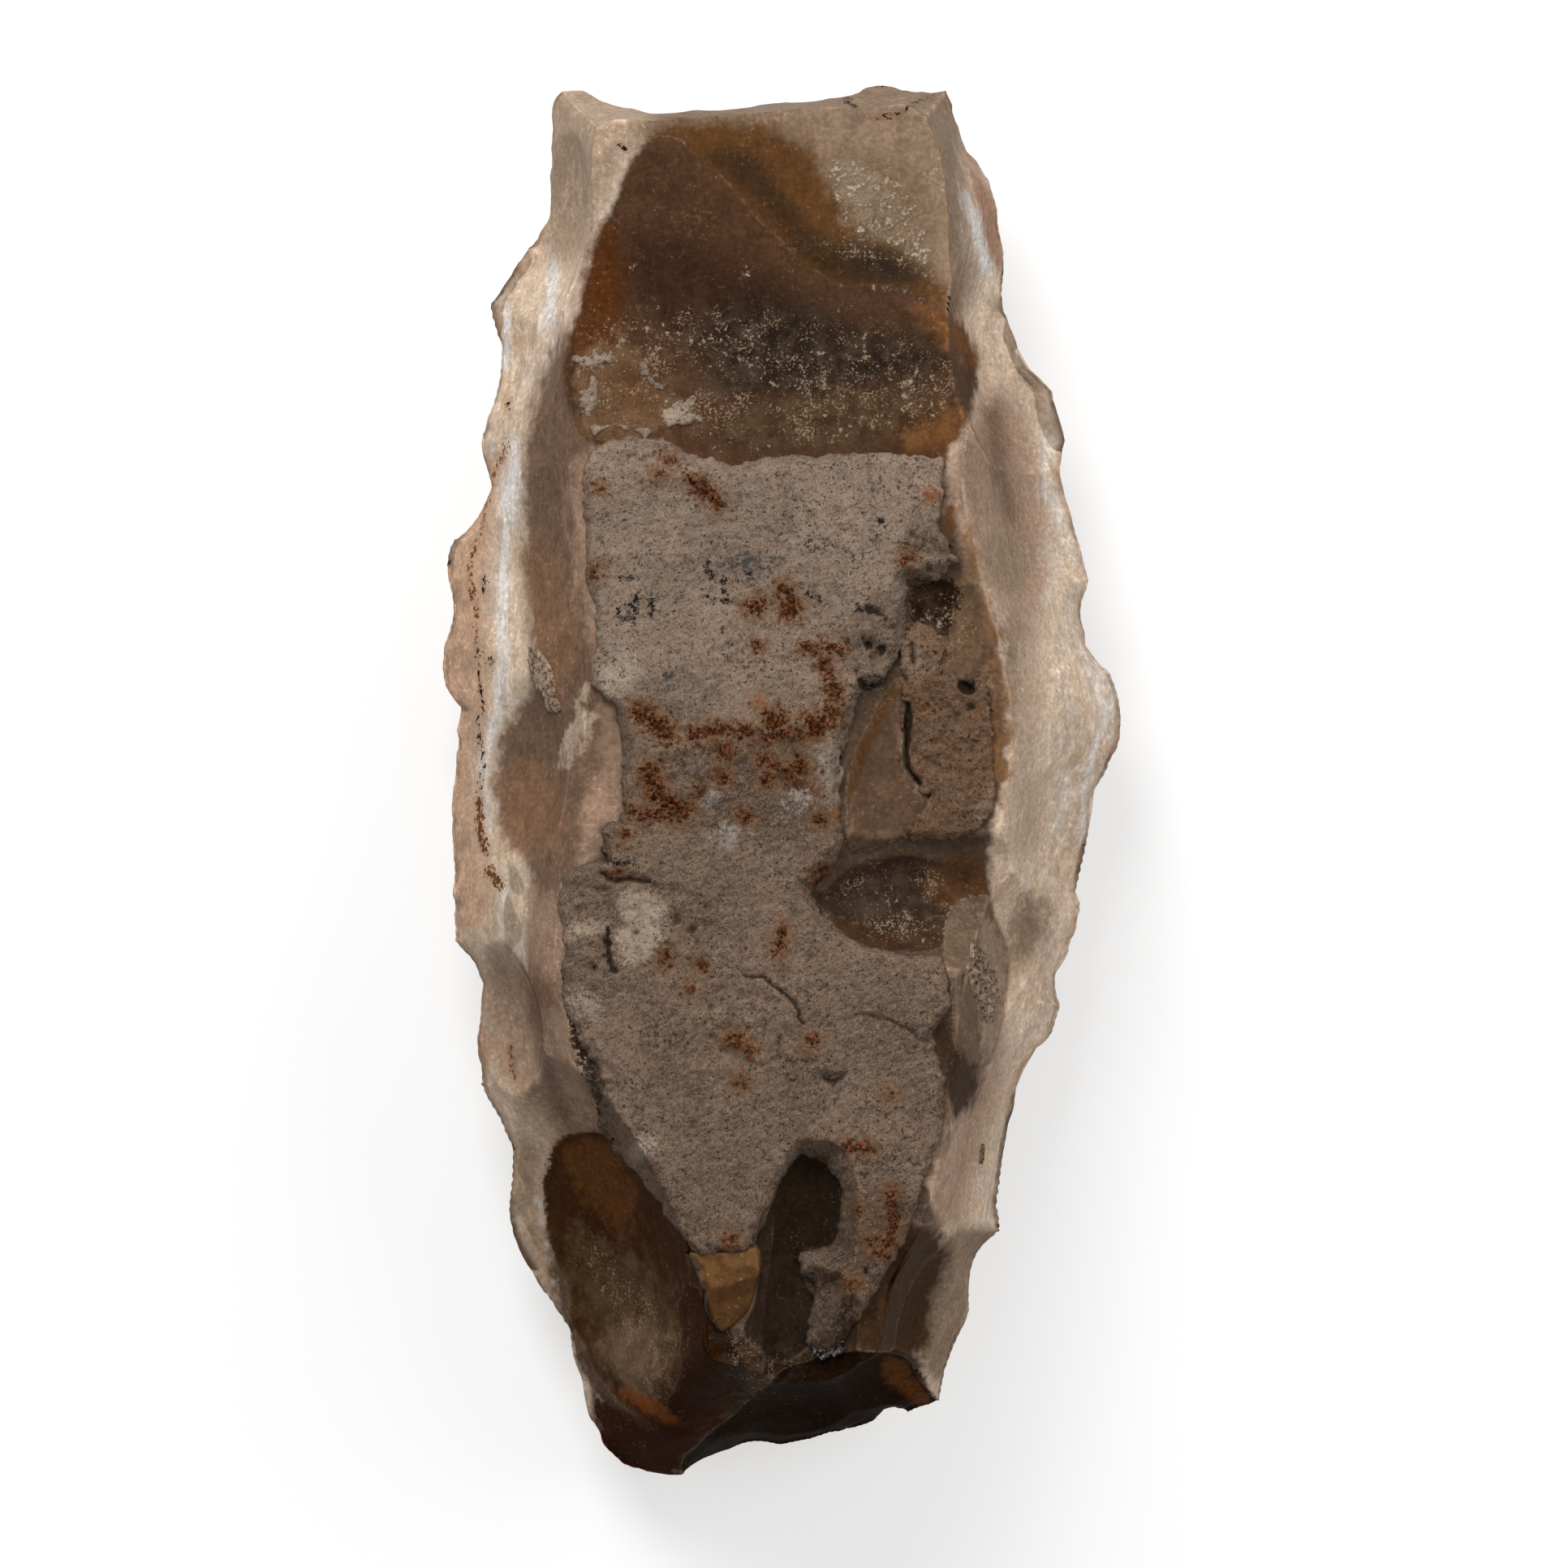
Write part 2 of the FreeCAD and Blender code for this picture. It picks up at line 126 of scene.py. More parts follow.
# Scars on the slope below the edge, in the same terms
under_scars = [
    (1.5, 0.45, 30.0, 2.4), (4.5, 0.50, 40.0, 2.4), (9.5, 0.45, 40.0, 3.0), (14.0, 0.45, 45.0, 2.8),
    (18.2, 0.45, 40.0, 3.0), (22.5, 0.45, 38.0, 2.6), (27.0, 0.45, 40.0, 2.6), (44.5, 0.45, 40.0, 2.8),
    (49.5, 0.45, 42.0, 2.8), (54.0, 0.45, 42.0, 3.0), (58.5, 0.45, 40.0, 2.8),
]
# Blade scars underneath: x at mid length, roll to the side in degrees, width, depth, turn in degrees
blade_scars = [
    (-17.5, 0.0, 15.5, 2.0, 1.2), (0.5, 0.0, 16.0, 2.4, -0.6), (18.5, 0.0, 15.0, 2.0, -1.4),
    (-39.0, 30.0, 22.0, 2.6, 2.6), (39.5, 30.0, 22.0, 2.6, -2.2),
]
# Narrow scars: foot x, y, depth below the shoulder, heading and dip in degrees, radius
notch_scar = (24.5, -20.5, 5.4, 173.0, 9.0, 15.0)
bladelet_scar = (5.4, -99.0, 8.0, 86.0, 7.0, 8.2)

# How finely the stone is divided: along each side, along each end, up the slope, down the underside
side_steps = 324
end_steps = 116
slope_steps = 50
under_steps = 16
arris_width = 0.5
wall_steepness = 10.0
ease_steps = 12
ease_limit = 1.8
# Flakes struck off along the edge: how many, and the ranges of half width, reach and depth
edge_flakes = [
    (150, (1.6, 5.5), (1.5, 6.0), (0.25, 0.8)),
    (38, (4.5, 10.0), (6.0, 16.0), (0.4, 1.0)),
]
# Chalk on the slopes: piece, node, row of the outline, share of the way up, half length along the slope,
# half length up it, rise in the middle, roughness
chalk_lumps = [
    ("large_plug", "large_chalk_plug", 51.78, 0.71, 5.0, 3.0, 0.6, 0.25),
    ("small_plug", "small_chalk_plug", 51.08, 0.72, 1.7, 2.3, 0.4, 0.1),
    ("edge_plug", "edge_chalk_plug", 26.46, 0.38, 1.9, 0.9, 0.2, 0.15),
    ("chalk_crust", "chalk_concretion", 22.3, 0.78, 7.6, 6.2, 0.8, 0.7),
]
lump_rings = 24
lump_spokes = 72
# Stone near a lump: how far round it, from what height, and how many vertices give a height
lump_window = 16.0
lump_lowest = 28.0
lump_neighbours = 6
# The most crystals and rusty grains there may be
crystal_count = 190
grain_count = 260
# Crusts: how far a sheet reaches past its outline, how near a row its outline is searched, how fast a side
# may slant
crust_margin = 1.4
crust_window = 2.0
crust_drift = 1.5
# What a mark's reach is where it covers nothing
far_outside = -20.0
# Hidden undersides of the crusts
rind_floor = 48.0
pocket_floor = 44.0
ledge_floor = 46.0

# Light and floor
lamp_aim = Vector((0, 0, 0.03))
# Each lamp's place and size in metres, and its power in watts
lamps = {"key": ((-0.24, 0.6, 0.66), 0.45, 6.4), "fill": ((1.05, 0.3, 0.85), 0.9, 7.0)}
room_strength = 0.34
floor_grey = 0.55
floor_glow = 0.53


# Noise and blending

def corner_hash(x, y, z, seed):
    """A fixed pseudo-random value from 0 to 1 for each whole-number corner, by mixing the bits of x, y, z
    and seed."""
    mixed = (x * 374761393 + y * 668265263 + z * 1274126177 + seed * 974634777) & 0xFFFFFFFF
    mixed = ((mixed ^ (mixed >> 13)) * 1103515245) & 0xFFFFFFFF
    mixed = ((mixed ^ (mixed >> 16)) * 2246822519) & 0xFFFFFFFF
    return ((mixed ^ (mixed >> 15)) & 0xFFFFFF) / float(0xFFFFFF)


def smooth_noise(points, cell, seed=0):
    """Value noise from -1 to 1: corner values of a lattice of this cell size, eased between the corners."""
    scaled = points / cell
    base = np.floor(scaled).astype(np.int64)
    part = scaled - base
    part = part * part * (3 - 2 * part)
    total = np.zeros(len(points))
    for dx in (0, 1):
        wx = part[:, 0] if dx else 1 - part[:, 0]
        for dy in (0, 1):
            wy = part[:, 1] if dy else 1 - part[:, 1]
            for dz in (0, 1):
                wz = part[:, 2] if dz else 1 - part[:, 2]
                total += wx * wy * wz * corner_hash(base[:, 0] + dx, base[:, 1] + dy, base[:, 2] + dz, seed)
    return total * 2 - 1


def rough_noise(points, cell, layers, seed=0):
    """Layers of smooth noise, each half as coarse and half as strong as the one before."""
    total = np.zeros(len(points))
    strength = 1.0
    for layer in range(layers):
        total += strength * smooth_noise(points, cell / 2 ** layer, seed + layer * 17)
        strength *= 0.5
    return total


def soft_min(a, b, width):
    """The lower of two heights, rounded over a width where they cross."""
    blend = np.clip(0.5 + 0.5 * (b - a) / width, 0, 1)
    return b * (1 - blend) + a * blend - width * blend * (1 - blend)


def soft_max(a, b, width):
    """The higher of two heights, rounded over a width where they cross."""
    return -soft_min(-a, -b, width)


# The stone's rails, from the resting face out to the edge and up to the shoulder

def edge_level(numbers, y):
    """Height of the widest edge: rising along the length, with a zigzag from row to row."""
    zigzag = np.where(numbers % 2 == 1, edge_zigzag, -edge_zigzag)
    return edge_height + edge_pitch * 2 * y / core_length + zigzag


def drawn_in(flat, width, z):
    """Points of the plan moved towards the spine by a width, at a height."""
    reach = spine_half_length * length_scale
    spine = np.stack([np.zeros(len(flat)), np.clip(flat[:, 1], -reach, reach)], axis=1)
    inward = spine - flat
    inward /= np.linalg.norm(inward, axis=1, keepdims=True)
    moved = flat + inward * np.reshape(width, (-1, 1))
    return np.column_stack([moved, np.full(len(flat), z)])


row_numbers = np.arange(len(edge_outline))
row_plan = edge_outline[:, :2] * (width_scale, length_scale)
edge_rows = np.column_stack([row_plan, edge_level(row_numbers, row_plan[:, 1])])
shoulder_rows = drawn_in(row_plan, edge_outline[:, 3] * width_scale, shoulder_z)
end_ease = np.minimum(1.0, np.abs(row_plan[:, 1]) / (core_length / 2)) ** 4
resting_rows = drawn_in(row_plan, side_tuck * (1 - end_ease) + end_tuck * end_ease, 0.0)


def share_out(lengths, steps):
    """Divides a number of steps among stretches by their lengths, at least one each."""
    counts = np.maximum(1, np.round(lengths / lengths.sum() * steps).astype(int))
    while counts.sum() != steps:
        gap = lengths / counts
        if counts.sum() > steps:
            counts[np.argmin(np.where(counts > 1, gap, np.inf))] -= 1
        else:
            counts[np.argmax(gap)] += 1
    return counts


def ring_columns():
    """Row number and part way of every column round the outline: each side and end gets its own number of
    steps."""
    following = np.roll(edge_rows, -1, axis=0)
    lengths = np.linalg.norm(following - edge_rows, axis=1)
    spans = zip(corner_rows, corner_rows[1:] + (len(edge_rows),),
        (end_steps, side_steps, end_steps, side_steps))
    rows = []
    parts = []
    for first, last, steps in spans:
        for row, count in zip(range(first, last), share_out(lengths[first:last], steps)):
            rows.append(np.full(count, row))
            parts.append(np.arange(count) / count)
    return np.concatenate(rows), np.concatenate(parts)


column_row, column_part = ring_columns()


def along_rows(rows):
    """Points of a rim at every column, straight from row to row."""
    part = column_part[:, None]
    return rows[column_row] * (1 - part) + np.roll(rows, -1, axis=0)[column_row] * part


def edge_ring():
    """The widest edge at every column: the chord from row to row, plus the bow times 4 t (1 - t),
    outwards."""
    ring = along_rows(edge_rows)
    run = (np.roll(edge_rows, -1, axis=0) - edge_rows)[column_row, :2]
    outward = np.stack([-run[:, 1], run[:, 0]], axis=1)
    outward /= np.linalg.norm(outward, axis=1, keepdims=True)
    bow = edge_outline[column_row, 2] * 4 * column_part * (1 - column_part)
    ring[:, :2] += outward * bow[:, None]
    return ring


def eased_ring(ring):
    """The ring with each point drawn towards the mean of its neighbours, but no further than a set
    distance."""
    mean = sum(np.roll(ring, k, axis=0) for k in range(-ease_steps, ease_steps + 1)) / (2 * ease_steps + 1)
    move = mean - ring
    length = np.linalg.norm(move, axis=1, keepdims=True)
    return ring + move * np.minimum(1, ease_limit / np.maximum(length, 1e-6))


def slope_frame(place, share, rim_rows=shoulder_rows):
    """A point on the slope between the edge and a rim, and the outward normal there."""
    row = int(place)
    part = place - row
    following = (row + 1) % len(edge_rows)
    low = edge_rows[row] * (1 - part) + edge_rows[following] * part
    high = rim_rows[row] * (1 - part) + rim_rows[following] * part
    normal = np.cross(edge_rows[following] - edge_rows[row], high - low)
    normal /= np.linalg.norm(normal)
    if normal[:2] @ (low - high)[:2] < 0:
        normal = -normal
    return low * (1 - share) + high * share, normal


# What was struck off

def ball_skin(x, y, centre, radius, side):
    """Height of a ball's lower (side -1) or upper (side 1) skin: centre z plus side times root(r2 - d2)."""
    inside = radius ** 2 - (x - centre[0]) ** 2 - (y - centre[1]) ** 2
    skin = centre[2] + side * np.sqrt(np.maximum(inside, 0))
    return np.where(inside > 0, skin, -side * 1000.0)


def rod_skin(x, y, centre, axis, radius, side):
    """Height of a round rod's lower or upper skin: the root of the quadratic for a vertical line meeting
    it."""
    along = (x - centre[0]) * axis[0] + (y - centre[1]) * axis[1]
    across = (x - centre[0]) ** 2 + (y - centre[1]) ** 2 - along ** 2 - radius ** 2
    lead = 1 - axis[2] ** 2
    middle = along * axis[2]
    inside = middle ** 2 - lead * across
    skin = centre[2] + (middle + side * np.sqrt(np.maximum(inside, 0))) / lead
    return np.where(inside > 0, skin, -side * 1000.0)


def trough_skin(x, y, scar):
    """Lower skin of a narrow scar that climbs out along its heading."""
    foot_x, foot_y, drop, heading, dip, radius = scar
    turn, climb = np.radians(heading), np.radians(dip)
    axis = np.array([np.cos(turn) * np.cos(climb), np.sin(turn) * np.cos(climb), np.sin(climb)])
    foot = (foot_x * width_scale, foot_y * length_scale, shoulder_z - drop + radius)
    return rod_skin(x, y, foot, axis, radius, -1)


def struck_above(x, y, z):
    """The upper surface after its scars: the soft minimum of the blank and every scar's skin."""
    for cx, cy, drop, radius in face_scars:
        centre = (cx * width_scale, cy * length_scale, shoulder_z - drop + radius)
        z = soft_min(z, ball_skin(x, y, centre, radius, -1), arris_width)
    for scar in (notch_scar, bladelet_scar):
        z = soft_min(z, trough_skin(x, y, scar), arris_width)
    for place, share, radius, depth in flank_scars:
        point, normal = slope_frame(place, share)
        z = soft_min(z, ball_skin(x, y, point + normal * (radius - depth), radius, -1), arris_width)
    return z


def struck_below(x, y, z):
    """The under surface after its scars: the soft maximum of the blank and every scar's skin."""
    for place, share, radius, depth in under_scars:
        point, normal = slope_frame(place, share, resting_rows)
        z = soft_max(z, ball_skin(x, y, point + normal * (radius - depth), radius, 1), arris_width)
    half_face = core_width / 2 - side_tuck
    for mid_x, roll, width, depth, turn in blade_scars:
        radius = (width ** 2 / 4 + depth ** 2) / (2 * depth)
        side = np.sign(mid_x) * np.radians(roll)
        yaw = np.radians(turn)
        rise = (abs(mid_x) * width_scale - half_face) * edge_height / side_tuck if roll else 0.0
        reach = radius - depth
        centre = (mid_x * width_scale + np.sin(side) * reach, 0.0, rise - np.cos(side) * reach)
        axis = np.array([np.sin(yaw), np.cos(yaw), 0.0])
        z = soft_max(z, rod_skin(x, y, centre, axis, radius, 1), arris_width)
    return z


# Meshes

def make_piece(name, vertices, faces, material, values):
    """A mesh object from arrays in millimetres, kept to the stone's own box, with one float attribute for
    each named array of values."""
    mesh = bpy.data.meshes.new(name)
    kept = np.clip(vertices * METRES, tuple(cad_low), tuple(cad_high))
    mesh.from_pydata(kept.tolist(), [], faces)
    mesh.validate()
    for label, numbers in (values or {}).items():
        layer = mesh.attributes.new(label, "FLOAT", "POINT")
        layer.data.foreach_set("value", np.asarray(numbers, np.float32))
    mesh.shade_smooth()
    piece = bpy.data.objects.new(name, mesh)
    bpy.context.scene.collection.objects.link(piece)
    mesh.materials.append(material)
    return piece


def grid_quads(index):
    """Quads of a grid of vertex numbers, in the order that faces up when the first axis is X and the second
    is Y."""
    corners = [index[:-1, :-1], index[1:, :-1], index[1:, 1:], index[:-1, 1:]]
    return np.stack(corners, axis=-1).reshape(-1, 4)


def surface_normals(vertices, triangles):
    """Vertex normals: the sum of the crossed edges of each triangle at its corners."""
    a, b, c = (vertices[triangles[:, i]] for i in range(3))
    face = np.cross(b - a, c - a)
    normals = np.zeros_like(vertices)
    for i in range(3):
        np.add.at(normals, triangles[:, i], face)
    return normals / np.maximum(np.linalg.norm(normals, axis=1, keepdims=True), 1e-12)


def as_triangles(quads):
    """Two triangles for each quad."""
    return np.concatenate([quads[:, [0, 1, 2]], quads[:, [0, 2, 3]]])


def patch_between(ring, sides, ends):
    """Fills a closed ring with a grid: each point is the blend of the two sides plus the blend of the two
    ends, less the blend of the four corners. Returns grid points, (sides + 1) by (ends + 1) from bottom
    left."""
    top = ring[:ends + 1]
    right = ring[ends:ends + sides + 1][::-1]
    bottom = ring[ends + sides:2 * ends + sides + 1][::-1]
    left = np.concatenate([ring[2 * ends + sides:], ring[:1]])
    u = np.linspace(0, 1, ends + 1)[None, :, None]
    v = np.linspace(0, 1, sides + 1)[:, None, None]
    blend = (1 - u) * left[:, None] + u * right[:, None] + (1 - v) * bottom[None] + v * top[None]
    low_corners = (1 - u) * left[0] + u * right[0]
    high_corners = (1 - u) * left[-1] + u * right[-1]
    return blend - (1 - v) * low_corners - v * high_corners


def patch_index(ring_numbers, first_free, sides, ends):
    """Vertex numbers of such a grid: the ring's own on its border, new ones inside. Axes are ends, then
    sides."""
    index = np.zeros((sides + 1, ends + 1), int)
    index[-1] = ring_numbers[:ends + 1]
    index[::-1, -1] = ring_numbers[ends:ends + sides + 1]
    index[0, ::-1] = ring_numbers[ends + sides:2 * ends + sides + 1]
    index[:, 0] = np.append(ring_numbers[2 * ends + sides:], ring_numbers[0])
    index[1:-1, 1:-1] = first_free + np.arange((sides - 1) * (ends - 1)).reshape(sides - 1, ends - 1)
    return index.T


# Where things lie in the photograph

def seen_at(points):
    """Photograph pixels of points of the stone: the long lens enlarges what stands higher."""
    size = camera_height / (camera_height + edge_height - points[:, 2]) / pixel_mm
    across = photo_pixels / 2 + (points[:, 0] - aim_x) * size
    down = photo_pixels / 2 - (points[:, 1] - aim_y) * size
    return np.column_stack([across, down])


def lies_at(pixels, height):
    """Millimetres of photograph pixels, for something at this height: the reverse of seen_at."""
    pixels = np.asarray(pixels, float)
    size = (camera_height + edge_height - height) / camera_height * pixel_mm
    return np.column_stack([(pixels[:, 0] - photo_pixels / 2) * size + aim_x,
                            (photo_pixels / 2 - pixels[:, 1]) * size + aim_y])


def rounded(outline, times=2):
    """An outline with its corners cut: each side keeps its middle half, over and over."""
    points = np.asarray(outline, float)
    for _ in range(times):
        following = np.roll(points, -1, axis=0)
        cut = [0.75 * points + 0.25 * following, 0.25 * points + 0.75 * following]
        points = np.stack(cut, 1).reshape(-1, 2)
    return points


def nearest(spots, starts, ends):
    """Distance from each spot to the nearest of some straight pieces."""
    best = np.full(len(spots), np.inf)
    for a, b in zip(starts, ends):
        run = b - a
        share = np.clip(((spots - a) @ run) / max(run @ run, 1e-9), 0, 1)
        best = np.minimum(best, np.linalg.norm(spots - a - share[:, None] * run, axis=1))
    return best


def inside_by(spots, outline):
    """Distance from each spot to a closed outline: above zero inside it, below zero outside."""
    points = np.asarray(outline, float)
    following = np.roll(points, -1, axis=0)
    crossings = np.zeros(len(spots), int)
    for a, b in zip(points, following):
        spans = (a[1] > spots[:, 1]) != (b[1] > spots[:, 1])
        rise = b[1] - a[1] if b[1] != a[1] else 1e-9
        crossings += spans & (spots[:, 0] < a[0] + (spots[:, 1] - a[1]) / rise * (b[0] - a[0]))
    return nearest(spots, points, following) * np.where(crossings % 2 == 1, 1, -1)


def along_line(spots, line, width):
    """Half a width less the distance from each spot to an open line."""
    points = np.asarray(line, float)
    return width / 2 - nearest(spots, points[:-1], points[1:])


def around_spots(spots, rounds):
    """The most that any of some rounds (x, y, radius) reaches past each spot."""
    best = np.full(len(spots), -1e3)
    for x, y, radius in rounds:
        best = np.maximum(best, radius - np.hypot(spots[:, 0] - x, spots[:, 1] - y))
    return best


def wandered(spots, points, amount, cell, seed):
    """Spots moved about by noise, so that what is drawn on them gets an uneven edge."""
    shift = [rough_noise(points, cell, 2, seed), rough_noise(points, cell, 2, seed + 5)]
    return spots + amount * np.column_stack(shift)


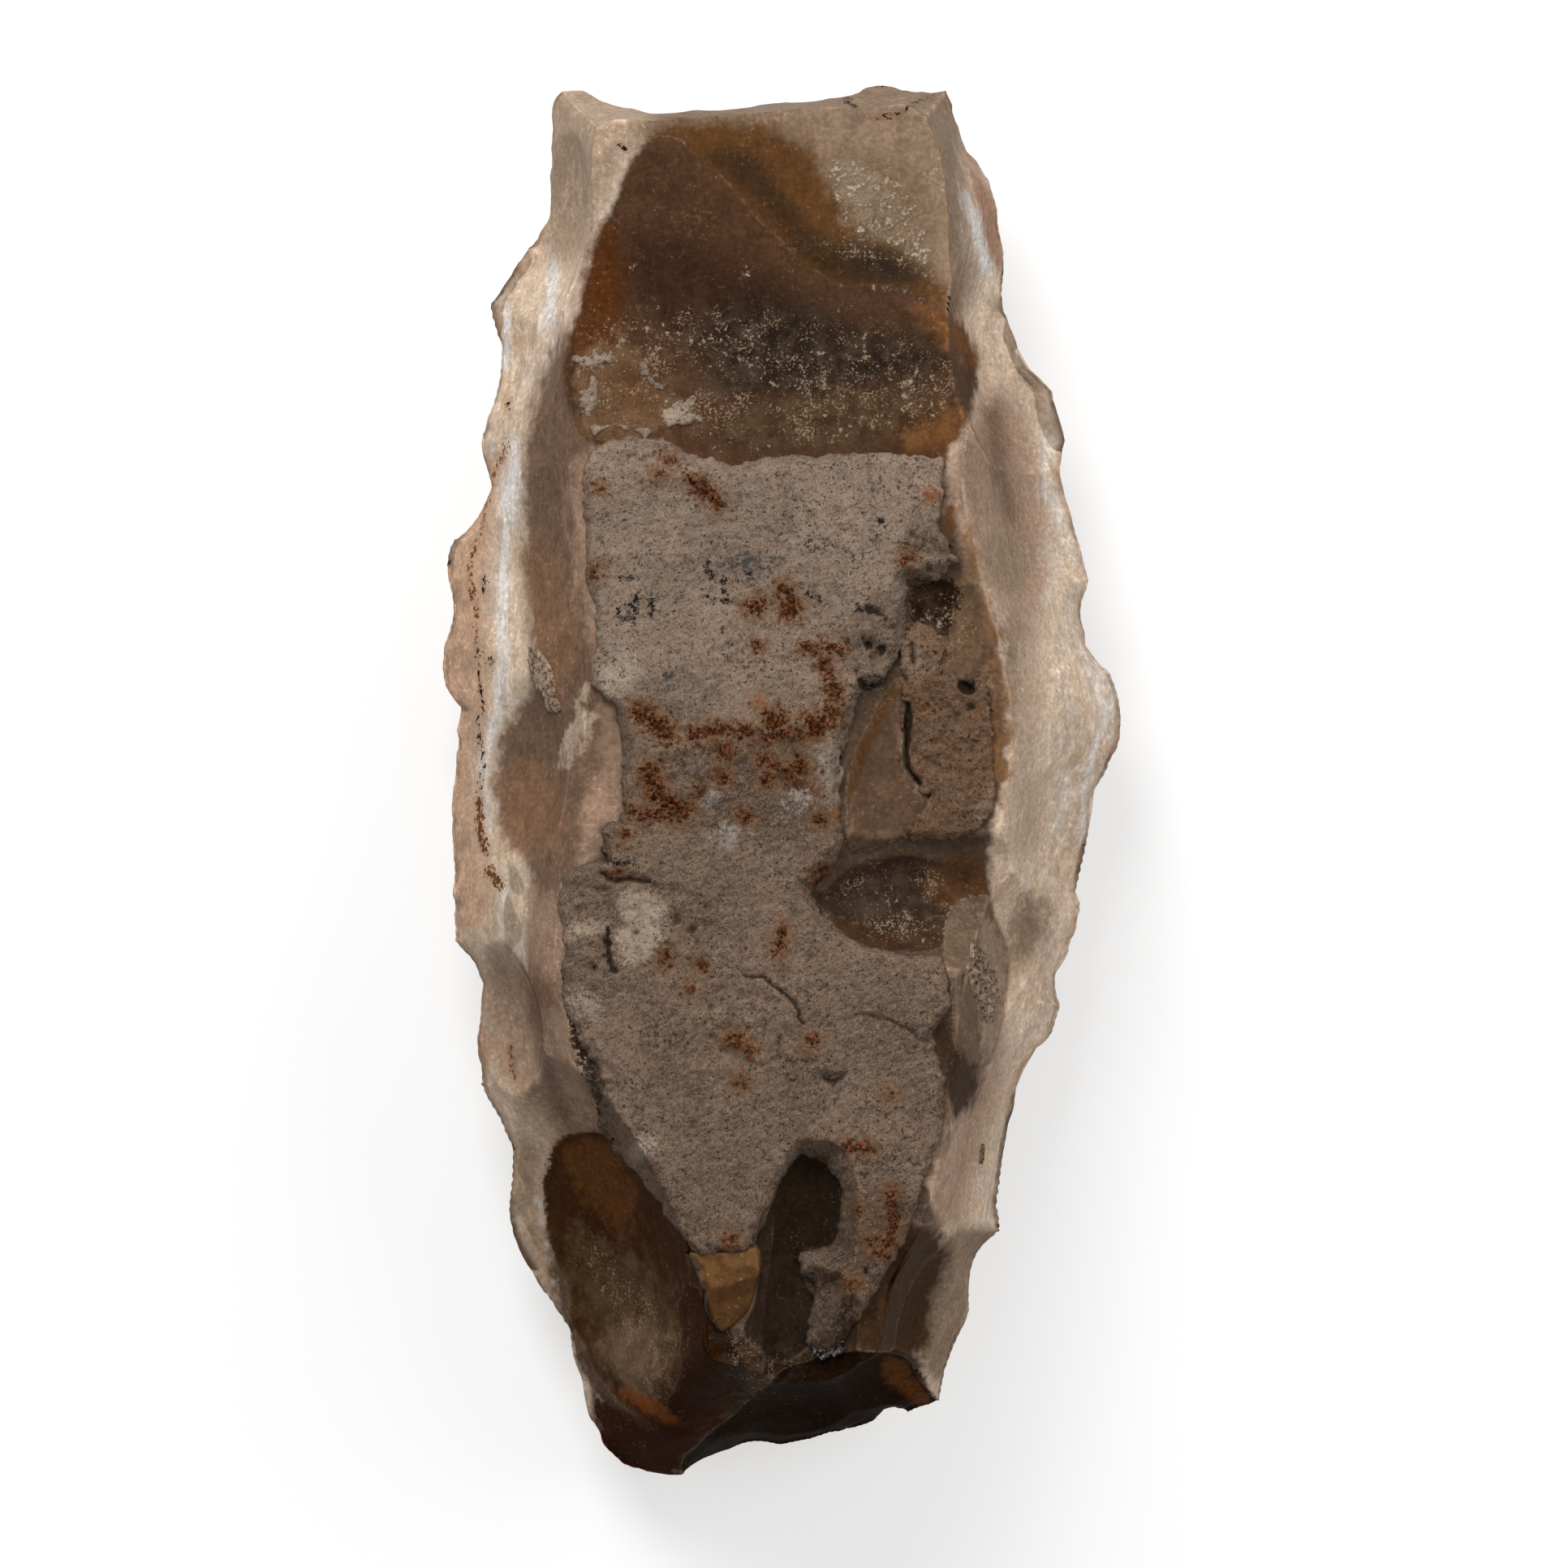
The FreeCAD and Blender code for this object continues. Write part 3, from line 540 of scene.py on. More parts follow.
# Stains and patina of the flint, with a few painted shadows and one painted light among them, in the order
# they lie over each other: name, colour, softness of the edge in millimetres, raggedness, pale rim (a
# painted highlight along the border), depth of the surface there in millimetres, and outlines in photograph
# pixels
flint_stains = [
    ("top_tan", (132, 110, 90), 5.0, 2.0, 0.0, 0.0, [
        [(740, 90), (1180, 90), (1190, 150), (1184, 205), (1196, 300), (1196, 400), (1150, 400),
         (1000, 330), (900, 200), (800, 190), (750, 156)]]),
    ("corner_tan", (164, 141, 119), 6.0, 2.0, 0.0, 0.0, [
        [(660, 90), (800, 90), (800, 150), (770, 210), (740, 270), (705, 330), (660, 310), (660, 200)]]),
    ("outer_peach", (190, 156, 130), 5.0, 2.0, 0.0, 0.0, [
        [(600, 560), (622, 560), (606, 640), (604, 760), (608, 830), (596, 900), (585, 960), (592, 1040),
         (600, 1150), (540, 1150), (540, 980), (530, 840), (530, 660), (570, 600)]]),
    ("inner_right", (182, 158, 137), 5.0, 2.4, 0.0, 0.0, [
        [(1240, 500), (1275, 520), (1280, 640), (1290, 720), (1285, 800), (1275, 900), (1285, 1000),
         (1270, 1060), (1235, 1060), (1240, 960), (1246, 800), (1262, 700), (1250, 600)]]),
    ("low_tan", (156, 131, 110), 6.0, 2.6, 0.0, 0.0, [
        [(600, 1160), (650, 1190), (690, 1260), (700, 1330), (745, 1395), (690, 1410), (650, 1370),
         (610, 1330), (590, 1260)],
        [(628, 1400), (668, 1410), (665, 1470), (690, 1560), (705, 1640), (680, 1620), (640, 1540),
         (626, 1480)]]),
    ("plateau", (88, 70, 56), 2.0, 1.2, 0.0, 0.0, [
        [(735, 540), (1165, 555), (1196, 640), (1212, 720), (1235, 790), (1242, 860), (1238, 960),
         (1215, 1040), (1222, 1110), (1230, 1200), (1222, 1300), (1205, 1390), (1180, 1470), (1155, 1530),
         (1135, 1600), (1130, 1680), (1160, 1740), (1100, 1775), (960, 1795), (850, 1825), (780, 1780),
         (700, 1680), (668, 1500), (680, 1412), (742, 1395), (730, 1330), (705, 1240), (692, 1180),
         (688, 1090), (755, 1040), (765, 940), (755, 870), (728, 840), (735, 780), (718, 640)]]),
    ("left_grey", (112, 88, 71), 3.6, 1.6, 0.0, 0.0, [
        [(700, 400), (718, 430), (720, 520), (735, 545), (722, 640), (738, 780), (766, 870), (768, 980),
         (745, 1050), (694, 1080), (692, 1180), (702, 1260), (725, 1330), (745, 1392), (700, 1400),
         (680, 1370), (662, 1300), (650, 1235), (648, 1180), (660, 1110), (640, 1040), (612, 1000),
         (610, 930), (632, 880), (658, 840), (662, 760), (650, 700), (644, 640), (644, 560), (656, 500),
         (680, 430)]]),
    ("left_brown", (124, 94, 72), 4.0, 1.6, 0.0, 0.0, [
        [(650, 640), (690, 690), (705, 780), (700, 860), (670, 850), (650, 800), (645, 720)],
        [(610, 960), (640, 930), (700, 960), (690, 1040), (640, 1060), (612, 1010)],
        [(640, 1170), (690, 1180), (700, 1230), (650, 1230)]]),
    ("left_dark", (149, 122, 102), 4.0, 1.0, 0.0, 0.0, [
        [(700, 560), (722, 560), (722, 640), (738, 780), (735, 800), (715, 760), (705, 660)],
        [(735, 855), (765, 870), (768, 980), (735, 1040), (705, 1060), (735, 960), (745, 900)],
        [(640, 1130), (690, 1090), (692, 1190), (700, 1230), (660, 1200)],
        [(665, 1250), (700, 1240), (720, 1330), (745, 1390), (705, 1392), (680, 1330)]]),
    ("pale_scale", (158, 137, 118), 1.6, 2.2, 0.1, -0.2, [
        [(722, 845), (729, 850), (730, 900), (712, 925), (694, 950), (686, 938), (700, 905), (715, 865)]]),
    ("right_grey", (166, 138, 117), 6.0, 2.0, 0.0, 0.0, [
        [(1207, 480), (1245, 480), (1275, 540), (1285, 620), (1290, 700), (1270, 770), (1235, 790),
         (1215, 740), (1200, 700), (1180, 640), (1165, 600), (1163, 560), (1192, 520)],
        [(1172, 1340), (1215, 1330), (1225, 1250), (1240, 1260), (1232, 1350), (1215, 1400), (1200, 1450),
         (1190, 1510), (1150, 1510), (1126, 1500), (1122, 1465), (1150, 1430), (1165, 1380)]]),
    ("right_streak", (112, 90, 73), 6.0, 2.0, 0.0, 0.0, [
        [(1210, 500), (1235, 500), (1245, 590), (1258, 655), (1240, 655), (1222, 600), (1212, 560)]]),
    ("dusty_blue", (144, 122, 102), 4.5, 3.0, 0.0, 0.0, [
        [(1178, 545), (1200, 535), (1207, 600), (1225, 640), (1200, 650), (1180, 610)],
        [(1203, 655), (1262, 655), (1270, 700), (1258, 735), (1225, 730), (1206, 700)],
        [(1228, 760), (1262, 750), (1258, 850), (1244, 930), (1236, 860)],
        [(1244, 1104), (1298, 1100), (1290, 1150), (1262, 1193), (1240, 1170)]]),
    ("edge_tan", (140, 118, 98), 2.4, 1.0, 0.0, 0.0, [
        [(1173, 1512), (1236, 1514), (1225, 1535), (1200, 1560), (1195, 1620), (1180, 1670), (1165, 1710),
         (1130, 1680), (1135, 1600), (1150, 1550)]]),
    ("upper_brown", (86, 57, 32), 5.0, 2.4, 0.0, 0.0, [
        [(795, 150), (905, 146), (985, 160), (1020, 215), (1060, 265), (1110, 300), (1150, 330),
         (1180, 384), (1100, 400), (960, 340), (860, 240), (800, 200)]]),
    ("upper_olive", (116, 94, 72), 6.0, 2.4, 0.0, 0.0, [
        [(1020, 180), (1090, 190), (1150, 230), (1152, 330), (1110, 310), (1060, 290), (1030, 240)]]),
    ("upper_deep", (60, 41, 25), 4.0, 1.8, 0.0, 0.0, [
        [(862, 185), (930, 185), (960, 230), (1000, 280), (1040, 300), (1110, 315), (1140, 350),
         (1060, 350), (1005, 338), (950, 270), (890, 210)]]),
    ("upper_haze", (124, 105, 85), 5.0, 4.0, 0.0, 0.0, [
        [(1035, 200), (1085, 215), (1100, 262), (1050, 268)]]),
    ("top_scar", (76, 52, 36), 1.8, 0.8, 0.12, 0.0, [
        [(835, 172), (880, 205), (925, 262), (1010, 345), (1060, 352), (1115, 352), (1172, 382),
         (1198, 420), (1207, 476), (1192, 520), (1163, 557), (1165, 575), (1050, 572), (960, 576),
         (905, 586), (850, 570), (815, 552), (770, 550), (735, 556), (712, 530), (700, 500), (692, 455),
         (705, 410), (722, 340), (735, 290), (765, 225), (797, 165)]]),
    ("left_amber", (80, 45, 20), 4.6, 1.2, 0.0, 0.0, [
        [(722, 310), (745, 270), (765, 290), (775, 340), (765, 400), (750, 450), (712, 500), (694, 455),
         (715, 400)]]),
    ("purple_brown", (57, 37, 25), 9.0, 2.4, 0.0, 0.0, [
        [(768, 300), (800, 280), (870, 300), (930, 330), (975, 350), (960, 410), (880, 440), (820, 430),
         (775, 380)]]),
    ("smoky_middle", (40, 30, 22), 9.0, 2.6, 0.0, 0.0, [
        [(850, 400), (950, 350), (1060, 400), (1150, 420), (1180, 450), (1100, 480), (980, 500),
         (880, 490)],
        [(1046, 300), (1110, 315), (1140, 350), (1060, 350)]]),
    ("olive_low", (66, 46, 30), 4.0, 2.0, 0.0, 0.0, [
        [(870, 505), (1000, 485), (1185, 485), (1175, 530), (1150, 552), (960, 556), (905, 566),
         (870, 545)]]),
    ("right_amber", (104, 68, 38), 4.0, 1.4, 0.0, 0.0, [
        [(1110, 525), (1180, 500), (1195, 505), (1163, 556), (1110, 556)],
        [(1120, 372), (1172, 382), (1198, 420), (1205, 460), (1180, 440), (1150, 410)]]),
    ("ledge_floor", (98, 72, 50), 2.4, 2.2, 0.0, -0.2, [
        [(705, 438), (747, 420), (775, 418), (795, 443), (812, 474), (850, 487), (868, 519), (814, 525),
         (796, 536), (752, 538), (716, 536), (709, 492)]]),
    ("ledge_amber", (88, 60, 38), 2.6, 1.4, 0.0, 0.2, [
        [(747, 450), (790, 452), (812, 480), (815, 500), (780, 505), (750, 490)]]),
    ("amber_band", (112, 82, 56), 3.6, 2.0, 0.15, 0.3, [
        [(1196, 722), (1212, 735), (1222, 770), (1237, 790), (1242, 850), (1244, 917), (1240, 976),
         (1218, 998), (1216, 942), (1207, 887), (1229, 872), (1220, 813), (1206, 770)],
        [(1191, 657), (1199, 655), (1205, 690), (1203, 718), (1193, 715)]]),
    ("window_brown", (98, 76, 56), 2.4, 2.0, 0.1, 0.4, [
        [(1172, 722), (1205, 724), (1212, 760), (1208, 813), (1184, 838), (1158, 828), (1160, 790)]]),
    ("window_dark", (36, 24, 15), 1.4, 1.8, 0.0, 0.5, [
        [(1122, 715), (1189, 713), (1176, 761), (1166, 790), (1146, 776), (1116, 764)]]),
    ("window_corner", (92, 62, 36), 1.6, 1.4, 0.1, 0.2, [
        [(1170, 618), (1178, 640), (1181, 658), (1168, 664), (1158, 655)]]),
    ("hollow_dark", (44, 32, 23), 1.4, 1.6, 0.0, 0.6, [
        [(1034, 802), (1070, 800), (1092, 820), (1085, 848), (1045, 858), (1032, 835)]]),
    # Painted shadow: near-black flint deep in the pocket, seen through the crust's pits and clefts
    ("pocket_pit_shadow", (40, 31, 24), 1.2, 0.8, 0.0, 3.0, [
        [(1116, 850), (1150, 840), (1196, 836), (1212, 860), (1218, 950), (1200, 1020), (1150, 1024),
         (1135, 1012), (1150, 985), (1124, 960), (1112, 935)]]),
    ("grey_facet", (88, 67, 52), 0.6, 0.4, 0.25, -0.5, [
        [(1107, 828), (1113, 850), (1111, 905), (1107, 935), (1122, 965), (1148, 979), (1129, 1013),
         (1111, 1031), (1059, 1050), (1046, 1042), (1041, 987), (1048, 935), (1074, 887)]]),
    ("facet_amber", (80, 54, 32), 1.4, 0.6, 0.0, 0.0, [
        [(1102, 835), (1106, 850), (1080, 900), (1062, 950), (1050, 985), (1043, 985), (1050, 935),
         (1076, 887)]]),
    ("notch", (54, 41, 32), 1.6, 0.9, 0.1, 0.4, [
        [(1023, 1089), (1034, 1075), (1060, 1062), (1110, 1050), (1150, 1060), (1190, 1072), (1200, 1090),
         (1172, 1102), (1164, 1140), (1160, 1165), (1123, 1174), (1069, 1168), (1034, 1146), (1001, 1118),
         (998, 1094), (1010, 1098)]]),
    ("notch_amber", (84, 56, 34), 4.0, 1.4, 0.0, 0.0, [
        [(1150, 1060), (1209, 1056), (1222, 1082), (1217, 1102), (1184, 1102), (1165, 1130),
         (1140, 1100)]]),
    ("notch_brown", (62, 42, 27), 2.0, 1.0, 0.15, 0.0, [
        [(1060, 1140), (1120, 1145), (1166, 1120), (1166, 1170), (1123, 1174), (1069, 1167), (1034, 1146),
         (1012, 1120), (1030, 1128)]]),
    ("ear", (106, 86, 70), 0.9, 0.6, 0.25, -0.1, [
        [(1180, 1108), (1214, 1102), (1224, 1114), (1230, 1140), (1243, 1160), (1243, 1214), (1236, 1250),
         (1228, 1300), (1208, 1320), (1190, 1312), (1176, 1293), (1172, 1240), (1174, 1200), (1164, 1180),
         (1162, 1150), (1168, 1121)]]),
    # Painted light: the steep right side of the ear, which faces away from the lamps, made paler to look as
    # lit as its left side
    ("ear_right_painted_light", (142, 120, 100), 2.0, 1.4, 0.0, 0.0, [
        [(1206, 1120), (1230, 1140), (1243, 1165), (1243, 1214), (1236, 1250), (1228, 1300), (1212, 1316),
         (1206, 1290), (1214, 1200), (1204, 1150)]]),
    # Painted shadow in the gap between the rind's broken edge and the flint
    ("rind_gap_shadow", (50, 38, 29), 1.0, 2.4, 0.0, 0.3, [
        [(700, 1243), (712, 1246), (730, 1310), (752, 1368), (772, 1392), (748, 1396), (728, 1345),
         (708, 1295)]]),
    ("dark_strip", (60, 44, 31), 2.6, 1.6, 0.0, 0.2, [
        [(1144, 1265), (1172, 1258), (1178, 1295), (1205, 1312), (1208, 1345), (1195, 1370), (1172, 1380),
         (1164, 1330)]]),
    ("scallop", (96, 78, 66), 0.7, 0.4, 0.3, 0.3, [
        [(1123, 1461), (1141, 1461), (1148, 1480), (1159, 1511), (1126, 1504), (1119, 1482)]]),
    ("brown_scar", (62, 37, 19), 0.9, 0.9, 0.1, 0.6, [
        [(676, 1419), (688, 1404), (710, 1396), (742, 1392), (790, 1430), (836, 1490), (872, 1545),
         (880, 1590), (884, 1625), (898, 1650), (918, 1682), (922, 1715), (886, 1747), (845, 1772),
         (812, 1764), (776, 1739), (743, 1706), (722, 1666), (698, 1625), (706, 1592), (682, 1551),
         (669, 1502), (665, 1462)]]),
    ("scar_top", (92, 57, 28), 4.0, 2.0, 0.0, 0.0, [
        [(676, 1415), (700, 1400), (735, 1398), (772, 1436), (790, 1490), (760, 1530), (715, 1470)]]),
    ("scar_olive", (76, 56, 36), 5.0, 3.4, 0.0, 0.0, [
        [(690, 1500), (740, 1530), (800, 1560), (850, 1630), (830, 1700), (760, 1730), (720, 1650),
         (700, 1580)]]),
    ("scar_dusty", (103, 79, 60), 4.4, 2.0, 0.0, 0.0, [
        [(735, 1640), (770, 1620), (812, 1640), (815, 1700), (790, 1725), (750, 1700)]]),
    ("rich_brown", (46, 21, 5), 2.0, 1.0, 0.1, 0.3, [
        [(840, 1572), (865, 1600), (890, 1648), (915, 1690), (918, 1715), (880, 1748), (845, 1765),
         (810, 1745), (838, 1700), (828, 1630)]]),
    ("orange_ridge", (110, 60, 24), 1.8, 1.2, 0.0, -0.2, [
        [(762, 1706), (800, 1728), (835, 1752), (832, 1764), (795, 1744), (758, 1718)]]),
    ("lower_tip", (52, 23, 6), 2.6, 1.4, 0.0, 0.0, [
        [(722, 1700), (770, 1742), (845, 1765), (886, 1748), (918, 1712), (945, 1694), (905, 1748),
         (862, 1780), (838, 1802), (842, 1840), (775, 1840), (735, 1800)]]),
    ("facet_brown", (62, 43, 27), 3.4, 1.6, 0.0, 0.3, [
        [(1041, 1666), (1061, 1609), (1102, 1535), (1122, 1507), (1150, 1508), (1172, 1535), (1162, 1564),
         (1150, 1609), (1142, 1666), (1127, 1675)]]),
    ("dark_crumbs", (36, 24, 15), 1.8, 2.4, 0.0, 0.2, [
        [(862, 1598), (886, 1600), (905, 1650), (930, 1640), (950, 1664), (990, 1684), (1012, 1690),
         (960, 1716), (925, 1742), (902, 1716), (892, 1668), (872, 1640)]]),
    ("crumb_ridge", (54, 38, 25), 1.0, 3.6, 0.0, -0.2, [
        [(905, 1655), (935, 1650), (960, 1680), (1000, 1662), (1008, 1680), (960, 1702), (925, 1725),
         (912, 1700)]]),
    ("bladelet", (44, 33, 24), 0.5, 0.5, 0.1, 0.4, [
        [(969, 1437), (984, 1421), (1016, 1429), (1031, 1449), (1039, 1474), (1031, 1535), (1008, 1539),
         (984, 1543), (988, 1564), (996, 1592), (1016, 1600), (1008, 1633), (992, 1662), (967, 1682),
         (947, 1674), (922, 1655), (912, 1638), (927, 1613), (933, 1584), (939, 1543), (927, 1531),
         (939, 1511), (955, 1470)]]),
    ("bladelet_low", (54, 41, 33), 2.4, 0.8, 0.0, 0.0, [
        [(945, 1550), (975, 1540), (988, 1590), (1005, 1610), (995, 1650), (968, 1668), (950, 1640),
         (940, 1595)]]),
    ("platform", (32, 20, 11), 0.6, 0.4, 0.2, 0.3, [
        [(930, 1722), (959, 1690), (1000, 1672), (1049, 1664), (1102, 1666), (1122, 1676), (1132, 1702),
         (1166, 1736), (1170, 1760), (1100, 1775), (1061, 1790), (967, 1795), (886, 1815), (845, 1830),
         (838, 1800), (865, 1774), (900, 1745)]]),
    ("platform_grey", (38, 28, 20), 3.0, 1.2, 0.0, 0.0, [
        [(900, 1765), (960, 1745), (1000, 1755), (990, 1775), (920, 1790), (880, 1795)]]),
    ("platform_amber", (86, 50, 22), 2.2, 0.8, 0.0, 0.0, [
        [(1085, 1672), (1120, 1680), (1130, 1702), (1160, 1735), (1130, 1738), (1110, 1715),
         (1088, 1700)]]),
]
# Pale lines and bands of patina, in photograph pixels: points, width
bluish_bands = [
    ([(632, 545), (629, 600), (620, 690), (619, 760), (618, 828), (613, 878), (603, 915), (590, 951)], 12),
    ([(684, 300), (676, 400)], 12), ([(622, 380), (618, 450)], 10),
    ([(1180, 235), (1200, 270), (1215, 330)], 16), ([(1285, 517), (1287, 602), (1307, 646)], 8),
    ([(1370, 865), (1348, 920), (1338, 972), (1335, 1035)], 6),
    ([(655, 1480), (672, 1530), (700, 1580)], 14), ([(700, 175), (755, 180)], 30),
    ([(645, 1270), (660, 1300)], 24),
]
pink_patches = [
    [(1190, 200), (1215, 220), (1236, 260), (1238, 340), (1225, 330), (1205, 270)],
    [(575, 1090), (600, 1100), (590, 1140), (570, 1140)],
    [(585, 1265), (600, 1265), (605, 1310), (592, 1318)],
]
cream_chips = [
    [(625, 1056), (632, 1062), (644, 1085), (648, 1096), (641, 1106), (628, 1096)],
    [(626, 1096), (634, 1120), (644, 1145), (630, 1180), (620, 1172), (619, 1130)],
]
# Earthy dust: outlines, spots
dust_patches = [
    [(1008, 205), (1040, 178), (1085, 195), (1120, 225), (1148, 260), (1156, 322), (1160, 356), (1136, 350),
     (1108, 312), (1066, 300), (1030, 272)],
    [(1130, 190), (1150, 220), (1140, 245), (1115, 215)],
    [(1037, 349), (1100, 343), (1154, 370), (1150, 385), (1100, 362), (1040, 364)],
    [(705, 438), (747, 420), (770, 420), (760, 440), (722, 450), (718, 480), (735, 520), (712, 530)],
    [(800, 520), (812, 486), (850, 487), (868, 519), (840, 530), (814, 525)],
]
dust_spots = [
    (784, 330, 12), (790, 345, 7), (919, 335, 14), (926, 322, 8), (1012, 398, 14), (835, 180, 8),
    (845, 235, 6), (760, 400, 10), (800, 398, 8), (840, 402, 8), (1120, 474, 14), (1135, 480, 10),
    (975, 330, 10), (1075, 352, 10), (1120, 715, 6), (1150, 708, 6), (1186, 735, 7), (1116, 745, 5),
    (1186, 680, 8), (1178, 640, 7), (720, 370, 7), (870, 402, 6), (1075, 1158, 8), (1190, 560, 9),
    (1200, 600, 9), (1240, 665, 10), (1003, 1468, 8), (1014, 1473, 6), (1018, 1455, 5), (1000, 1488, 4),
    (985, 1640, 6),
]
speckled_patches = [
    [(700, 430), (780, 420), (868, 519), (800, 536), (710, 534)],
    [(1118, 720), (1205, 722), (1190, 830), (1120, 800)],
    [(720, 380), (860, 380), (1050, 380), (1180, 420), (1195, 480), (1160, 550), (960, 555), (905, 565),
     (860, 545), (780, 480), (720, 440)],
    [(1020, 180), (1150, 220), (1160, 350), (1040, 350)],
    [(1010, 1040), (1170, 1040), (1180, 1110), (1160, 1170), (1050, 1150)],
    [(690, 1500), (800, 1560), (850, 1640), (820, 1730), (760, 1720)],
    [(870, 1600), (930, 1640), (1005, 1680), (960, 1720), (905, 1720)],
]
# Rust and soot in the outer patina: lines with widths
rust_lines = [
    ([(626, 543), (615, 573), (606, 589), (596, 626), (586, 666), (578, 692), (580, 725), (583, 762),
      (588, 795)], 5),
    ([(1082, 145), (1115, 136), (1150, 115)], 5), ([(588, 985), (592, 1020), (598, 1050)], 11),
    ([(604, 1074), (616, 1090)], 14), ([(630, 1290), (632, 1330)], 5), ([(578, 725), (580, 740)], 9),
]
soot_lines = [
    ([(588, 795), (591, 828), (596, 875), (591, 888), (593, 928), (596, 944), (590, 974)], 4),
    ([(597, 712), (594, 730)], 6), ([(627, 492), (622, 504)], 5),
    ([(1086, 144), (1110, 138), (1148, 117)], 2), ([(765, 178), (770, 182)], 6),
    ([(1043, 124), (1052, 131)], 7), ([(608, 813), (606, 820)], 7), ([(1128, 1689), (1131, 1695)], 6),
    ([(1142, 1712), (1158, 1727)], 5),
]

# The rind: outline and what lies in it, in photograph pixels
rind_rim = [
    (735, 548), (770, 537), (815, 540), (850, 556), (900, 572), (960, 561), (1050, 557), (1165, 562),
    (1163, 620), (1158, 650), (1168, 668), (1176, 692), (1160, 712), (1118, 717), (1116, 760), (1112, 800),
    (1090, 830), (1060, 850), (1048, 885), (1038, 930), (1036, 990), (1040, 1040), (1022, 1075),
    (1000, 1095), (1012, 1130), (1060, 1165), (1100, 1175), (1160, 1180), (1168, 1210), (1172, 1240),
    (1148, 1275), (1165, 1320), (1160, 1400), (1135, 1470), (1115, 1530), (1060, 1625), (1035, 1662),
    (1005, 1668), (990, 1655), (1000, 1620), (1010, 1590), (988, 1572), (985, 1545), (1033, 1532),
    (1040, 1470), (1020, 1432), (985, 1424), (965, 1445), (940, 1500), (922, 1545), (855, 1545),
    (820, 1500), (765, 1425), (735, 1390), (745, 1330), (715, 1290), (695, 1240), (695, 1180), (685, 1110),
    (700, 1070), (745, 1060), (740, 1020), (770, 1000), (765, 940), (760, 870), (730, 850), (727, 815),
    (738, 790), (722, 700), (718, 620), (722, 570),
]
rind_rust_lines = [
    ([(850, 590), (868, 602), (884, 620)], 12), ([(990, 796), (1034, 800)], 12),
    ([(1015, 815), (1030, 850), (1024, 890)], 14), ([(790, 875), (802, 890), (822, 903)], 24),
    ([(855, 905), (895, 897), (935, 905), (985, 905)], 14), ([(800, 950), (812, 980), (840, 1000)], 22),
    ([(965, 1145), (958, 1172)], 10), ([(1044, 1413), (1070, 1416)], 9),
    ([(1098, 1470), (1100, 1510), (1088, 1545)], 14), ([(780, 1000), (800, 1004), (850, 1000)], 12),
    ([(940, 935), (975, 960), (995, 975)], 12), ([(885, 915), (900, 930)], 10),
]
rind_rust_spots = [
    (823, 565, 5), (812, 585, 5), (932, 746, 12), (974, 748, 15), (967, 728, 9), (932, 796, 6),
    (955, 888, 14), (1005, 893, 17), (893, 924, 9), (918, 1010, 9), (890, 957, 8), (1012, 1084, 12),
    (821, 1182, 8), (866, 1189, 6), (905, 1285, 11), (919, 1294, 11), (912, 1335, 6), (900, 1529, 8),
    (762, 1076, 5), (771, 1028, 6), (1058, 1490, 5), (733, 704, 6), (1000, 1283, 5), (850, 1218, 4),
    (1095, 1350, 4), (1075, 1530, 6), (740, 600, 6), (945, 960, 8), (985, 945, 12), (1010, 1010, 6),
    (865, 975, 8), (1049, 1582, 6), (1115, 688, 6),
]
rind_orange_spots = [(1149, 609, 8), (936, 864, 8), (1030, 1003, 4)]
rind_soot_lines = [
    ([(783, 736), (781, 762)], 6), ([(776, 744), (773, 758)], 4), ([(802, 738), (804, 754)], 6),
    ([(766, 713), (778, 712)], 4), ([(762, 752), (765, 760)], 4), ([(892, 718), (893, 730)], 4),
    ([(874, 735), (882, 738)], 4), ([(922, 708), (926, 716)], 4), ([(870, 692), (876, 712)], 4),
    ([(996, 732), (1010, 738)], 5), ([(892, 739), (896, 741)], 5),
    ([(742, 1052), (758, 1066), (775, 1060)], 5), ([(1084, 640), (1090, 648)], 4),
    ([(1055, 745), (1062, 752)], 5),
]
rind_soot_haze = [
    [(930, 700), (960, 680), (1000, 655), (1003, 668), (965, 695), (935, 712)],
    [(1060, 655), (1090, 655), (1090, 668), (1060, 668)], [(810, 820), (835, 820), (840, 850), (815, 850)],
    [(760, 855), (800, 850), (820, 870), (780, 885)], [(870, 690), (935, 670), (960, 700), (900, 715)],
]
rind_crystals = [
    (765, 797, 8), (774, 840, 6), (877, 985, 14), (985, 984, 16), (970, 993, 10), (897, 1030, 18),
    (875, 1028, 10), (925, 1028, 8), (880, 1178, 9), (800, 1168, 9), (795, 1155, 6), (915, 1300, 9),
    (900, 1298, 8), (1015, 930, 10), (1020, 955, 8), (780, 850, 5), (935, 905, 4), (893, 884, 5),
]
rind_pale = [
    [(770, 1095), (800, 1100), (822, 1120), (815, 1160), (790, 1185), (765, 1190), (758, 1150)],
    [(690, 1140), (740, 1138), (745, 1150), (695, 1158)],
    [(700, 1220), (740, 1235), (735, 1260), (705, 1250)],
    [(1000, 905), (1035, 900), (1040, 1000), (1010, 985)],
    [(745, 820), (775, 800), (790, 830), (760, 860), (735, 845)],
    [(795, 1395), (812, 1405), (800, 1430), (770, 1430)],
]
rind_shade = [
    [(860, 915), (950, 900), (1036, 905), (1040, 1010), (960, 1040), (860, 1030), (780, 1010), (780, 940)],
    [(1040, 1480), (1110, 1450), (1130, 1500), (1060, 1640), (1010, 1660), (1000, 1600)],
    [(1040, 780), (1060, 740), (1110, 720), (1112, 800), (1055, 850)],
    [(1105, 650), (1180, 655), (1185, 712), (1112, 718)],
]
